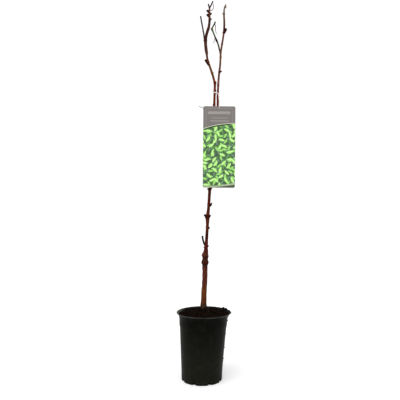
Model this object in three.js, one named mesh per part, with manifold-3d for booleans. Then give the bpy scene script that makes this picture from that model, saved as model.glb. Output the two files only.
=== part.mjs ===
// A young grapevine in winter, bare of leaves, in a tall nursery pot, with its picture card.
// Millimetres, +Z up. The origin is the centre of the pot's flat underside, +X is to the right
// in the front view and -Y points at the viewer.
import * as THREE from "three";
import { mergeVertices } from "three/addons/utils/BufferGeometryUtils.js";
import Module from "manifold-3d";

const wasm = await Module();
wasm.setup();

// Driving dimensions

const GAP = 0.3; // between two solids that meet

const POT = {
  height: 184,
  lean: 5.3, // how far the soft wall has carried the rim's centre to the right
  leanPower: 1.3,
  rimRadius: 74.5,
  rimOutline: [[-4.6, -5], [-0.4, -2.3], [0, -0.85], [-0.6, 0], [-2.6, -0.7]], // from that edge and the top
  rimRoot: 6.6, // how far inside the rim's edge the wall's inner face turns out
  wall: 1.3,
  floor: 2.4,
  footRadius: 55.2,
  footRound: 1.4,
  stepHeight: 24, // the low step above the drain recesses
  stepOut: 1.1,
  shoulderRadius: 64.0,
  shoulderHeight: 142,
  collarRadius: 65.8,
  collarHeight: 150,
  flareHeight: 168,
  flareOut: 0.6,
  throatHeight: 174,
  throatOut: 1.8,
  segments: 56,
  recesses: 8, // drain recesses round the foot
  recessDepth: 1.6,
  recessHeight: 18,
  recessOut: 0.8,
  drainWidth: 8,
  drainHeight: 3.6,
  drainReach: 9,
  dentAngle: -0.1, // where the rim is pushed out, from +X
  dentWidth: 0.2,
  dentReach: 1.6,
};

const SOIL = {
  ground: 187, // the soil's surface at the trunk's foot, mounded over the rim
  edge: 177.5, // the soil's surface at the wall
  topOut: 2, // how far the surface spreads past the collar, in the flare
  footRing: 15, // radius of the level patch round the trunk
  lowerInset: 3.0, // room for the drain recesses
  segments: 40,
  rings: [1, 0.9, 0.74, 0.56, 0.36, 0.16, 0], // shares of the way from the level patch to the wall
  unevenness: 1.3,
  seed: 7,
};

// Each course is the middle line of a stem, from its foot upwards.
const FORK = 812; // height at which the trunk parts into its two boughs
const TRUNK = {
  course: [
    [5.2, 18, 187], [5.2, 18, 197], [6.0, 16, 229], [9.0, 13.5, 277], [9.1, 11.5, 318], [11.8, 10, 357],
    [14.8, 7.5, 405], [15.8, 5.5, 446], [19.4, 3.5, 481], [22.6, 2, 530], [26.6, 1, 590], [31.0, 0, 668],
    [34.1, 0, 745], [36.2, 0, FORK],
  ],
  girth: [
    [187, 7.9], [229, 6.95], [262, 6.35], [300, 6.8], [330, 7.2], [345, 6.7], [360, 5.2], [382, 4.4],
    [408, 4.1], [424, 4.3], [436, 4.9], [450, 4.4], [470, 4.0], [520, 4.2], [545, 3.7], [600, 3.6],
    [690, 3.4], [FORK, 3.2],
  ],
  flare: 2.4, // how far the root flare stands out at the ground
  flareHeight: 9,
  flareLobes: 4,
  forkSwell: 1.1,
  sides: 12,
  steps: 84,
};

// Old pruning scars on the trunk: height, side in degrees from +X, how far out, and reach along the stem.
const SCARS = [
  [262, 185, 1.0, 5], [282, 170, 0.9, 5], [303, 195, 1.1, 5], [317, 178, 2.6, 6], [318, 2, 2.1, 6],
  [321, 265, 1.8, 6], [326, 95, 1.6, 6], [339, 182, 2.9, 5], [336, 20, 1.6, 5], [341, 280, 1.5, 5],
];

// Buds and cut stubs on the shown part of the cane: height, side in degrees, length.
const CANE_BUDS = [
  [362, 8, 5.2], [358, 186, 4.6], [414, 0, 3.8], [478, 12, 7.0], [518, 180, 6.0], [520, 5, 6.0],
];
const SHOWN_NODES = [414, 446, 478, 520];
const NODE = { swell: 0.6, reach: 3.2, budLength: 4.4, budRise: 1.1 };
const HIDDEN_NODES = {
  first: 558, last: 780, spacing: 38.5, firstSide: 15, turnBy: 180, scatter: 50, seed: 11,
};

const STUBS = { // pruned side shoots on the trunk, from its middle line outwards
  left: { course: [[15.4, 5.6, 436], [12.0, 5.2, 443.5], [7.6, 4.6, 450.2]], foot: 3.0, tip: 2.6 },
  right: { course: [[16.0, 5.4, 438], [20.0, 5.6, 443.5], [23.4, 5.8, 448.6]], foot: 2.9, tip: 2.5 },
  thin: {
    course: [[12.2, 9.8, 361], [7.2, 9.4, 368.4], [3.6, 9.4, 379], [1.6, 9.2, 391]],
    foot: 2.0, tip: 1.6,
  },
  tendril: {
    course: [[33.6, 0, 728], [27.5, -1.6, 732], [18, -2, 736], [6.0, -2.4, 740.4], [-7.2, -2.4, 746.2]],
    foot: 1.2, tip: 0.7,
  },
};

const LEFT_SHOOT = {
  course: [
    [36.0, 0, 805], [34.6, 0, 814], [30.6, 0, 830], [25.4, 0, 846], [19.0, -1, 864], [14.6, -2, 880],
    [14.0, -2, 895], [12.2, -1, 912], [11.0, 0, 929], [12.2, 0, 940], [15.6, 0, 952], [19.4, 0.5, 965],
    [21.4, 1, 984], [20.9, 1, 998], [20.9, 1, 1010], [22.0, 1, 1017], [26.0, 1, 1025], [29.8, 1, 1032.8],
  ],
  girth: [
    [805, 3.1], [845, 2.95], [880, 2.75], [912, 2.7], [930, 3.0], [948, 3.4], [965, 3.1], [980, 2.8],
    [1000, 2.4], [1020, 1.8], [1032.8, 1.6],
  ],
  boughFrom: 817, // heights at which the shoot is parted into stub, bough and tip twigs
  twigsFrom: 981,
  nodes: [
    { height: 838, side: 35 }, { height: 868, side: 95 }, { height: 893, side: 190, length: 4.8 },
    { height: 926.5, side: 180, length: 5, rise: 0.3 }, { height: 958, side: 250 },
  ],
  tipNodes: [{ height: 985, side: 0, length: 5, rise: 0.5 }],
};

const RIGHT_SHOOT = {
  course: [
    [30.6, 0, 664], [34.0, 1.4, 678], [38.8, 3, 694], [41.8, 3.8, 714], [43.6, 4.2, 740], [44.2, 4.2, 778],
    [45.6, 4.2, 812], [47.8, 4, 838], [50.4, 4, 860], [52.4, 4, 895], [55.8, 4, 918], [59.6, 4, 942],
    [61.6, 4, 962], [61.9, 4, 980], [61.4, 4, 997], [62.6, 4, 1013], [64.4, 4, 1021], [66.2, 4, 1028],
  ],
  girth: [
    [664, 3.4], [740, 3.15], [812, 2.9], [860, 2.65], [895, 2.5], [942, 2.4], [1004, 2.5], [1017, 2.1],
    [1028, 1.7],
  ],
  boughFrom: 697,
  twigsFrom: 980,
  nodes: [
    { height: 735, side: 60 }, { height: 772, side: -30 }, { height: 806, side: 120 },
    { height: 842, side: 2, length: 7, rise: 0.5 }, { height: 884, side: 100 }, { height: 918, side: 265 },
    { height: 950, side: 140 },
  ],
  tipNodes: [],
};

// Cut spurs on the boughs, from the bough's middle line outwards.
const LEFT_SPUR = {
  course: [[18.6, -1, 860.5], [14.8, -1.2, 866], [9.8, -1.6, 873.6]], foot: 3.0, tip: 2.6,
};
const RIGHT_SPUR = {
  course: [[60.6, 4, 948.5], [64.6, 3.8, 953.5], [68, 3.6, 961.5]], foot: 3.1, tip: 2.5,
};

const SIDE_TWIG = { // the thin cut twig that climbs along the left bough and leaves it at its upper node
  course: [
    [13.9, 0, 884], [12.2, 0.6, 891], [10.2, 0.8, 900], [8.8, 0.8, 912], [7.9, 0.8, 924], [6.6, 1.4, 936],
    [5.2, 3, 947], [2.8, 3, 961], [-0.4, 4, 978], [-3.1, 4, 994.8],
  ],
  foot: 2.2, tip: 1.8, from: 943.5,
};

const MIDDLE_TWIG = { // the twig that crosses towards the left bough and doubles back at its knuckle
  course: [
    [52.6, 4.4, 881], [51.6, 8.4, 892], [48.4, 9.8, 907], [45.2, 10, 920], [40.8, 10, 930.5],
    [34.8, 10, 945], [27.8, 9.4, 962.4],
  ],
  upper: [[27.8, 9.4, 962.4], [31.4, 9, 969], [35.4, 9, 976.5], [37.4, 9, 981.4]],
  foot: 2.1, tip: 1.7, from: 897,
  knots: [{ share: 0.62, swell: 0.6, reach: 0.04 }, { share: 1, swell: 0.7, reach: 0.06 }],
};

// Side shoots of the four masses of twigs. They climb the mass's stem at even steps, turn round it
// by a fixed angle, and their length, rise and side vary by a seeded draw. Under budBelow mm a
// shoot is no more than a bud.
const SHOOTS = {
  left: {
    first: 992, last: 1004, count: 3, firstSide: 185, turnBy: 180, scatter: 9, length: 8.6, seed: 137,
  },
  right: {
    first: 995, last: 1018, count: 4, firstSide: 275, turnBy: -95, scatter: 12, length: 5.4, seed: 8,
  },
  side: {
    first: 951, last: 973, count: 2, firstSide: 150, turnBy: 180, scatter: 10, length: 2.8, seed: 2,
  },
  middle: {
    first: 931, last: 947, count: 2, firstSide: 20, turnBy: 180, scatter: 10, length: 3.2, seed: 6,
  },
};
const SHOOT = { foot: 2.1, tip: 1.8, swell: 0.5, rise: 0.8, budBelow: 4, spread: 0.25 };

// Long shoots and dry tendrils of the masses, from their stem outwards.
const LEFT_FORK = {
  course: [[21.4, 1, 1013.5], [20.2, 1, 1018], [19.4, 0.8, 1022], [17.9, 0.6, 1027]],
  foot: 1.7, tip: 1.5,
};
const TENDRILS = {
  left: [
    [21.2, 0.8, 1010], [25.4, -0.8, 1009], [29.6, -2.6, 1010.6], [32.2, -3.6, 1015.6],
    [32.4, -3.4, 1021], [31.6, -3.0, 1025.6],
  ],
  middleUpper: [[35.2, 9, 976], [37.2, 7.6, 971.6], [38.0, 6.4, 963], [38.2, 5.8, 955.6], [40.4, 5.6, 948]],
  middleLower: [[37.0, 10, 940], [36.0, 9.4, 935.4], [34.6, 8.8, 929.6], [33.0, 8.2, 922.4]],
};
const TENDRIL = { foot: 1.0, tip: 0.75, sides: 5, spacing: 2.4 };

const CARD = {
  width: 87.8, height: 222.4, thickness: 0.6, corner: 4,
  centre: [47.3, 634.7], back: -4.5, roll: -0.008,
  hole: [48.2, 738.2], holeRadius: 2.2,
};

const TIE = {
  from: [35.6, 0], to: [44.3, 4.2], height: 782.8, slope: -0.236,
  stem: 3.5, strap: 1.0, width: 2.4, cord: 0.6,
};

const FINISH = {
  pot: { color: 0x20211e, roughness: 0.55, metalness: 0 },
  soil: { color: 0x2a1f19, roughness: 0.95, metalness: 0 },
  bark: { color: 0x6b3a24, roughness: 0.85, metalness: 0 },
  cane: { color: 0x6e2c18, roughness: 0.6, metalness: 0 },
  twig: { color: 0x5b4038, roughness: 0.7, metalness: 0 },
  card: { color: 0x8fb878, roughness: 0.35, metalness: 0 },
  tie: { color: 0xf1efe8, roughness: 0.4, metalness: 0 },
};

// Making and joining solids

/** Turns a closed geometry into a solid, with its shared corners merged. */
function solid(geometry) {
  const bare = geometry.clone();
  bare.deleteAttribute("normal");
  bare.deleteAttribute("uv");
  const merged = mergeVertices(bare, 1e-4);
  const index = merged.index.array;
  const corners = [];
  for (let i = 0; i < index.length; i += 3) {
    const [a, b, c] = [index[i], index[i + 1], index[i + 2]];
    if (a !== b && b !== c && c !== a) corners.push(a, b, c);
  }
  return new wasm.Manifold(new wasm.Mesh({
    numProp: 3,
    vertProperties: new Float32Array(merged.attributes.position.array),
    triVerts: new Uint32Array(corners),
  }));
}

/** Joins a list of solids into one. */
function fuse(solids) {
  return solids.reduce((whole, next) => whole.add(next));
}

/** Gives a solid its name and finish, as a mesh of the scene. */
function piece(name, body, finish) {
  const { vertProperties, triVerts } = body.getMesh();
  const geometry = new THREE.BufferGeometry();
  geometry.setAttribute("position", new THREE.BufferAttribute(vertProperties, 3));
  geometry.setIndex(new THREE.BufferAttribute(triVerts, 1));
  geometry.computeVertexNormals();
  const mesh = new THREE.Mesh(geometry, new THREE.MeshStandardMaterial(finish));
  mesh.name = name;
  return mesh;
}

/** A repeatable stream of numbers from 0 to 1. */
function seeded(seed) {
  let state = seed;
  return () => {
    state = (state + 0x6d2b79f5) | 0;
    let mixed = Math.imul(state ^ (state >>> 15), 1 | state);
    mixed = (mixed + Math.imul(mixed ^ (mixed >>> 7), 61 | mixed)) ^ mixed;
    return ((mixed ^ (mixed >>> 14)) >>> 0) / 4294967296;
  };
}

/** The shortest turn from one angle to another, in radians. */
function turn(from, to) {
  return Math.atan2(Math.sin(to - from), Math.cos(to - from));
}

/** A smooth hump, 1 in its middle and falling to 0 within a few widths. */
function hump(distance, width) {
  return Math.exp(-((distance / width) ** 2));
}

/** Reads a value from a table of [key, value] rows, easing from row to row. */
function eased(table, key) {
  if (key <= table[0][0]) return table[0][1];
  for (let i = 1; i < table.length; i++) {
    if (key > table[i][0]) continue;
    const share = (key - table[i - 1][0]) / (table[i][0] - table[i - 1][0]);
    return THREE.MathUtils.lerp(table[i - 1][1], table[i][1], THREE.MathUtils.smoothstep(share, 0, 1));
  }
  return table[table.length - 1][1];
}

// Stems

/** The middle line through a course of points. */
function lineThrough(course) {
  const points = course.map((point) => new THREE.Vector3(...point));
  return new THREE.CatmullRomCurve3(points, false, "centripetal");
}

/** The share of a rising line's length at which it reaches a height. */
function shareAt(line, height) {
  let [low, high] = [0, 1];
  for (let i = 0; i < 30; i++) {
    const middle = (low + high) / 2;
    if (line.getPointAt(middle).z < height) low = middle;
    else high = middle;
  }
  return (low + high) / 2;
}

/** The share of a line's length that lies before a share of its points. */
function lengthShare(line, pointShare) {
  let [low, high] = [0, 1];
  for (let i = 0; i < 30; i++) {
    const middle = (low + high) / 2;
    if (line.getUtoTmapping(middle) < pointShare) low = middle;
    else high = middle;
  }
  return (low + high) / 2;
}

/**
 * A bent, tapering rod: a cylinder whose rings are carried along a line from one share of its
 * length to another. radius(share, out, at) is the wall's distance from the line on the side out,
 * and ringAt() may crowd the rings where the line turns tightly.
 */
function rod(line, radius, { sides = 8, steps = 12, from = 0, to = 1, ringAt = (share) => share } = {}) {
  const grain = 400; // frames are worked out finely, so that every part of a line shares them
  const frames = line.computeFrenetFrames(grain, false);
  const cylinder = new THREE.CylinderGeometry(1, 1, 1, sides, steps);
  const places = cylinder.attributes.position;
  for (let i = 0; i < places.count; i++) {
    const share = THREE.MathUtils.lerp(from, to, ringAt(places.getY(i) + 0.5));
    const frame = Math.round(share * grain);
    const reach = Math.hypot(places.getX(i), places.getZ(i));
    const angle = Math.atan2(places.getX(i), places.getZ(i));
    const out = frames.normals[frame].clone().multiplyScalar(Math.cos(angle));
    out.addScaledVector(frames.binormals[frame], Math.sin(angle));
    const at = line.getPointAt(share);
    at.addScaledVector(out, reach * radius(share, out, at.clone()));
    places.setXYZ(i, at.x, at.y, at.z);
  }
  return solid(cylinder);
}

/** A twig that tapers evenly from foot to tip, with its end rounded over. */
function twig(course, foot, tip, { sides = 7, steps = 8, from = 0, swell = 0 } = {}) {
  const line = lineThrough(course);
  const rounded = 1 - 1 / steps;
  const radius = (share) => {
    const even = THREE.MathUtils.lerp(foot, tip, share) + swell * hump(share - 0.85, 0.16);
    return share > rounded + 1e-6 ? even * 0.45 : even;
  };
  return rod(line, radius, { sides, steps, from });
}

/** A pointed winter bud that sits in the stem's side. */
function bud(at, direction, length, width) {
  const profile = [
    [0, -0.35], [0.75, -0.2], [1, 0.15], [0.8, 0.5], [0.4, 0.82], [0, 1],
  ].map(([across, along]) => new THREE.Vector2(across * width, along * length));
  const shape = new THREE.LatheGeometry(profile, 6);
  const turnTo = new THREE.Quaternion().setFromUnitVectors(new THREE.Vector3(0, 1, 0), direction);
  shape.applyQuaternion(turnTo);
  shape.translate(at.x, at.y, at.z);
  return solid(shape);
}

/** The direction that leaves a stem on one side, in degrees from +X, and rises by the given share. */
function leaving(side, rise) {
  const angle = THREE.MathUtils.degToRad(side);
  return new THREE.Vector3(Math.cos(angle), Math.sin(angle), rise).normalize();
}

/** A bud on a stem's line, at a height and on a side, standing out of a stem of the given radius. */
function budOn(line, height, side, length, stem, rise = NODE.budRise) {
  const direction = leaving(side, rise);
  const at = line.getPointAt(shareAt(line, height));
  at.addScaledVector(leaving(side, 0), stem * 0.72);
  return bud(at, direction, length, length * 0.42);
}

/** Heights and sides of the nodes of a stem: they climb by a spacing and turn, by a seeded rule. */
function nodesAlong({ first, last, spacing, firstSide, turnBy, scatter, seed }) {
  const draw = seeded(seed);
  const nodes = [];
  let side = firstSide;
  for (let height = first; height < last + spacing / 2; height += spacing) {
    nodes.push({ height: height + (draw() - 0.5) * spacing * 0.14, side: side + (draw() - 0.5) * scatter });
    side += turnBy;
  }
  return nodes;
}

/** The side shoots of a mass, by its rule: short spurs, or buds where they are very short. */
function sideShoots(line, stem, rule) {
  const draw = seeded(rule.seed);
  const nodes = nodesAlong({ ...rule, spacing: (rule.last - rule.first) / (rule.count - 1) });
  return nodes.map(({ height, side }) => {
    const length = rule.length * (1 + (draw() - 0.5) * 2 * SHOOT.spread);
    if (rule.length < SHOOT.budBelow) return budOn(line, height, side, length, stem);
    const root = line.getPointAt(shareAt(line, height));
    const out = leaving(side, SHOOT.rise + (draw() - 0.5) * SHOOT.spread);
    const bend = root.clone().addScaledVector(out, length * 0.62);
    const tip = bend.clone().addScaledVector(leaving(side, 3), length * 0.38);
    return twig([root, bend, tip].map((at) => at.toArray()), stem * SHOOT.foot / 2, stem * SHOOT.tip / 2,
      { steps: 5, swell: SHOOT.swell });
  });
}

/** A dry tendril along its course. */
function tendril(course) {
  const steps = Math.round(lineThrough(course).getLength() / TENDRIL.spacing);
  return twig(course, TENDRIL.foot, TENDRIL.tip, { sides: TENDRIL.sides, steps });
}

// The pot and its soil

/** Turns a list of [radius, height] rows round the pot's axis; place() then moves each corner. */
function revolve(profile, segments, place) {
  const rows = profile.map(([radius, height]) => new THREE.Vector2(radius, height));
  const shape = new THREE.LatheGeometry(rows, segments);
  shape.rotateX(Math.PI / 2);
  const places = shape.attributes.position;
  for (let i = 0; i < places.count; i++) {
    const corner = new THREE.Vector3().fromBufferAttribute(places, i);
    const moved = place(corner, i % profile.length, Math.atan2(corner.y, corner.x));
    places.setXYZ(i, moved.x, moved.y, moved.z);
  }
  return solid(shape);
}

/** The soft pot's lean at a height. */
function leanAt(height) {
  return POT.lean * THREE.MathUtils.clamp(height / POT.height, 0, 1) ** POT.leanPower;
}

/** The pot's inner face above its floor, as [radius, height] rows from the low step up. */
const innerWall = [
  [POT.footRadius + POT.stepOut - POT.wall, POT.stepHeight],
  [POT.shoulderRadius - POT.wall, POT.shoulderHeight + 0.5],
  [POT.collarRadius - POT.wall, POT.collarHeight + 0.5],
  [POT.collarRadius + POT.flareOut - POT.wall, POT.flareHeight],
  [POT.collarRadius + POT.throatOut - 0.5 - POT.wall, POT.throatHeight],
];

/** The angle from a direction to the middle of the nearest drain recess, in radians. */
function offRecess(angle) {
  const spacing = (2 * Math.PI) / POT.recesses;
  const fromFirst = angle + Math.PI / 2 - spacing / 2;
  return Math.abs(fromFirst - spacing * Math.round(fromFirst / spacing));
}

/** Cutters for the drain slots, one at the foot of each recess. */
function drainSlots() {
  const spacing = (2 * Math.PI) / POT.recesses;
  return Array.from({ length: POT.recesses }, (_, i) => {
    const slot = new THREE.BoxGeometry(POT.drainReach, POT.drainWidth, POT.drainHeight * 2);
    slot.translate(POT.footRadius - POT.drainReach / 3, 0, (POT.drainHeight + POT.floor) / 2);
    slot.rotateZ(spacing * (i + 0.5) - Math.PI / 2);
    return solid(slot);
  });
}

function makePot() {
  const outside = [
    [0, 0],
    [POT.footRadius - POT.footRound, 0],
    [POT.footRadius - POT.footRound / 4, POT.footRound * 0.6],
    [POT.footRadius, POT.footRound * 2],
    [POT.footRadius + POT.recessOut, POT.recessHeight],
    [POT.footRadius + POT.stepOut, POT.stepHeight],
    [POT.shoulderRadius, POT.shoulderHeight],
    [POT.collarRadius, POT.collarHeight],
    [POT.collarRadius + POT.flareOut, POT.flareHeight],
    [POT.collarRadius + POT.throatOut, POT.throatHeight],
    ...POT.rimOutline.map(([out, up]) => [POT.rimRadius + out, POT.height + up]),
  ];
  const inside = [
    [POT.rimRadius - POT.rimRoot, POT.height - 4.5],
    ...[...innerWall].reverse(),
    [POT.footRadius + POT.recessOut - POT.wall, POT.recessHeight],
    [POT.footRadius - POT.wall - 1, POT.floor],
    [0, POT.floor],
  ];
  const recessHalf = (2 * Math.PI) / POT.recesses / 7;
  const pot = revolve([...outside, ...inside], POT.segments, (corner, row, angle) => {
    const radius = Math.hypot(corner.x, corner.y);
    let moved = radius;
    if (corner.z <= POT.recessHeight && radius > POT.footRadius / 2 && offRecess(angle) < recessHalf) {
      moved -= POT.recessDepth;
    }
    if (corner.z > POT.flareHeight + 4) {
      moved += POT.dentReach * hump(turn(POT.dentAngle, angle), POT.dentWidth);
    }
    const scale = radius > 0 ? moved / radius : 1;
    return new THREE.Vector3(corner.x * scale + leanAt(corner.z), corner.y * scale, corner.z);
  });
  return pot.subtract(fuse(drainSlots()));
}

function makeSoil() {
  const side = innerWall.map(([radius, height]) => [radius - GAP, height]);
  const foot = POT.footRadius - POT.wall - SOIL.lowerInset;
  const rings = SOIL.rings;
  const wallTop = POT.collarRadius + SOIL.topOut - POT.wall - GAP;
  const profile = [
    [0, POT.floor],
    [foot, POT.floor],
    [foot, POT.recessHeight + 2],
    ...side,
    ...rings.map((share) => [wallTop * (0.2 + 0.8 * share), SOIL.edge]),
    [0, SOIL.edge],
  ];
  const firstRing = profile.length - 1 - rings.length;
  const draw = seeded(SOIL.seed);
  const rough = rings.map(() => Array.from({ length: SOIL.segments }, () => draw() - 0.5));
  const [footX, footY] = TRUNK.course[0];
  return revolve(profile, SOIL.segments, (corner, row, angle) => {
    const at = corner.clone();
    at.x += leanAt(corner.z);
    if (row < firstRing) return at;
    if (row === profile.length - 1) return new THREE.Vector3(footX, footY, SOIL.ground);
    const share = rings[row - firstRing];
    const wall = [wallTop * Math.cos(angle) + leanAt(SOIL.edge), wallTop * Math.sin(angle)];
    const level = [footX + SOIL.footRing * Math.cos(angle), footY + SOIL.footRing * Math.sin(angle)];
    const sector = Math.round(((angle + Math.PI) / (2 * Math.PI)) * SOIL.segments) % SOIL.segments;
    const uneven = share > 0 && share < 1 ? SOIL.unevenness * rough[row - firstRing][sector] : 0;
    const fall = THREE.MathUtils.smoothstep(share, 0, 0.6) * 0.55 + share * 0.45;
    return new THREE.Vector3(
      THREE.MathUtils.lerp(level[0], wall[0], share),
      THREE.MathUtils.lerp(level[1], wall[1], share),
      THREE.MathUtils.lerp(SOIL.ground, SOIL.edge, fall) + uneven,
    );
  });
}

// The vine

const trunkLine = lineThrough(TRUNK.course);
const leftLine = lineThrough(LEFT_SHOOT.course);
const rightLine = lineThrough(RIGHT_SHOOT.course);
const sideLine = lineThrough(SIDE_TWIG.course);
const middleLine = lineThrough(MIDDLE_TWIG.course);
const hiddenNodes = nodesAlong(HIDDEN_NODES);
const swollen = [...SHOWN_NODES, ...hiddenNodes.map((node) => node.height)];

/** The trunk's radius at a height and on a side: its girth, root flare, scars and node swellings. */
function trunkRadius(share, out, at) {
  const side = Math.atan2(out.y, out.x);
  let radius = eased(TRUNK.girth, at.z);
  const flare = Math.exp(-(at.z - SOIL.ground) / TRUNK.flareHeight);
  radius += TRUNK.flare * flare * (1 + 0.35 * Math.cos(TRUNK.flareLobes * side + 0.8));
  for (const [height, degrees, depth, reach] of SCARS) {
    radius += depth * hump(at.z - height, reach) * hump(turn(THREE.MathUtils.degToRad(degrees), side), 0.9);
  }
  for (const height of swollen) radius += NODE.swell * hump(at.z - height, NODE.reach);
  radius += TRUNK.forkSwell * hump(at.z - FORK, 5);
  return share > 0.999 ? radius * 0.55 : radius;
}

/** A shoot's radius: its girth by height, swollen at its nodes, and drawn in at its tip. */
function shootRadius({ girth, nodes }) {
  return (share, out, at) => {
    const even = eased(girth, at.z);
    const near = nodes.reduce((sum, node) => sum + hump(at.z - node.height, NODE.reach), 0);
    return share > 0.985 ? even * 0.5 : even + NODE.swell * 0.8 * Math.min(near, 1);
  };
}

/** One stretch of a shoot, between two heights on its line. */
function stretch(shoot, line, { from, to, sides, steps }) {
  const start = from === undefined ? 0 : shareAt(line, from);
  const end = to === undefined ? 1 : shareAt(line, to);
  return rod(line, shootRadius(shoot), { sides, steps, from: start, to: end });
}

function makeTrunk() {
  const trunk = rod(trunkLine, trunkRadius, { sides: TRUNK.sides, steps: TRUNK.steps });
  const parts = [trunk];
  for (const [height, side, length] of CANE_BUDS) {
    parts.push(budOn(trunkLine, height, side, length, eased(TRUNK.girth, height)));
  }
  for (const node of hiddenNodes) {
    const away = Math.sin(THREE.MathUtils.degToRad(node.side)) < 0 ? -node.side : node.side;
    parts.push(budOn(trunkLine, node.height, away, NODE.budLength, eased(TRUNK.girth, node.height)));
  }
  for (const { course, foot, tip } of Object.values(STUBS)) {
    parts.push(twig(course, foot, tip, { steps: 4 + course.length }));
  }
  parts.push(stretch(LEFT_SHOOT, leftLine, { to: LEFT_SHOOT.boughFrom, sides: 8, steps: 3 }));
  parts.push(stretch(RIGHT_SHOOT, rightLine, { to: RIGHT_SHOOT.boughFrom, sides: 8, steps: 6 }));
  return levelled(fuse(parts));
}

/** Cuts a solid off level at the ground. */
function levelled(body) {
  const below = new THREE.BoxGeometry(80, 80, 40);
  below.translate(TRUNK.course[0][0], TRUNK.course[0][1], SOIL.ground - 20);
  return body.subtract(solid(below));
}

/** The buds at nodes of a shoot. */
function shootBuds(nodes, { girth }, line) {
  return nodes.map(({ height, side, length = NODE.budLength, rise }) => (
    budOn(line, height, side, length, eased(girth, height), rise)
  ));
}

/** A bough between two heights of its shoot, with its buds, its cut spur and the stub of its side twig. */
function makeBough(shoot, line, spur, stub, steps) {
  const span = { from: shoot.boughFrom + GAP, to: shoot.twigsFrom, sides: 9, steps };
  const parts = [stretch(shoot, line, span)];
  parts.push(...shootBuds(shoot.nodes, shoot, line));
  parts.push(twig(spur.course, spur.foot, spur.tip, { steps: 5, swell: 0.3 }));
  const end = shareAt(stub.line, stub.from);
  const taper = (share) => THREE.MathUtils.lerp(stub.foot, stub.tip, share);
  parts.push(rod(stub.line, taper, { steps: stub.steps, to: end }));
  return fuse(parts);
}

function makeLeftBough() {
  return makeBough(LEFT_SHOOT, leftLine, LEFT_SPUR, { ...SIDE_TWIG, line: sideLine, steps: 10 }, 26);
}

function makeRightBough() {
  return makeBough(RIGHT_SHOOT, rightLine, RIGHT_SPUR, { ...MIDDLE_TWIG, line: middleLine, steps: 4 }, 34);
}

/** The cluster of short spurs and the forked tips at the left bough's end. */
function makeLeftTwigs() {
  const stem = stretch({ ...LEFT_SHOOT, nodes: [{ height: 1000 }] }, leftLine, {
    from: LEFT_SHOOT.twigsFrom + GAP, sides: 8, steps: 16,
  });
  return fuse([
    stem,
    ...sideShoots(leftLine, 2.5, SHOOTS.left),
    ...shootBuds(LEFT_SHOOT.tipNodes, LEFT_SHOOT, leftLine),
    twig(LEFT_FORK.course, LEFT_FORK.foot, LEFT_FORK.tip, { steps: 5 }),
    tendril(TENDRILS.left),
    bud(leftLine.getPoint(1).add(new THREE.Vector3(-0.4, 0, -1.4)), leaving(0, 2.0), 3.2, 1.9),
  ]);
}

/** The slim end of the right bough, with its short shoots and dry tip. */
function makeRightTwigs() {
  const stem = stretch({ ...RIGHT_SHOOT, nodes: [{ height: 1002 }, { height: 1020 }] }, rightLine, {
    from: RIGHT_SHOOT.twigsFrom + GAP, sides: 8, steps: 14,
  });
  return fuse([stem, ...sideShoots(rightLine, 1.9, SHOOTS.right)]);
}

/** The thin cut twig on the left. */
function makeSideTwig() {
  const from = shareAt(sideLine, SIDE_TWIG.from + GAP);
  const radius = (share) => THREE.MathUtils.lerp(SIDE_TWIG.foot, SIDE_TWIG.tip, share);
  const stem = rod(sideLine, radius, { sides: 8, steps: 10, from });
  return fuse([stem, ...sideShoots(sideLine, 1.5, SHOOTS.side)]);
}

/** The crooked twig between the boughs, with its knuckle, cut end and dry tendrils. */
function makeMiddleTwig() {
  const from = shareAt(middleLine, MIDDLE_TWIG.from + GAP);
  const radius = (share) => MIDDLE_TWIG.knots.reduce(
    (sum, knot) => sum + knot.swell * hump(share - knot.share, knot.reach),
    THREE.MathUtils.lerp(MIDDLE_TWIG.foot, MIDDLE_TWIG.tip, share),
  );
  return fuse([
    rod(middleLine, radius, { sides: 8, steps: 16, from }),
    twig(MIDDLE_TWIG.upper, 1.9, 1.7, { steps: 6, swell: 0.35 }),
    bud(middleLine.getPoint(1), leaving(175, 0.25), 3.6, 1.5),
    ...sideShoots(middleLine, 1.6, SHOOTS.middle),
    tendril(TENDRILS.middleUpper),
    tendril(TENDRILS.middleLower),
  ]);
}

// The card and its tie

/** A rectangle with round corners, centred on the origin. */
function roundedRectangle(width, height, corner) {
  const [x, y] = [width / 2, height / 2];
  const shape = new THREE.Shape();
  shape.absarc(x - corner, y - corner, corner, 0, Math.PI / 2);
  shape.absarc(corner - x, y - corner, corner, Math.PI / 2, Math.PI);
  shape.absarc(corner - x, corner - y, corner, Math.PI, Math.PI * 1.5);
  shape.absarc(x - corner, corner - y, corner, Math.PI * 1.5, Math.PI * 2);
  return shape;
}

function makeCard() {
  const shape = roundedRectangle(CARD.width, CARD.height, CARD.corner);
  const centre = new THREE.Vector2(...CARD.centre);
  const inCard = new THREE.Vector2(...CARD.hole).rotateAround(centre, -CARD.roll).sub(centre);
  const hole = new THREE.Path();
  hole.absarc(inCard.x, inCard.y, CARD.holeRadius, 0, Math.PI * 2);
  shape.holes.push(hole);
  const flat = { depth: CARD.thickness, bevelEnabled: false, curveSegments: 6 };
  const plate = new THREE.ExtrudeGeometry(shape, flat);
  plate.rotateZ(CARD.roll);
  plate.rotateX(Math.PI / 2);
  plate.translate(CARD.centre[0], CARD.back, CARD.centre[1]);
  return solid(plate);
}

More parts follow.
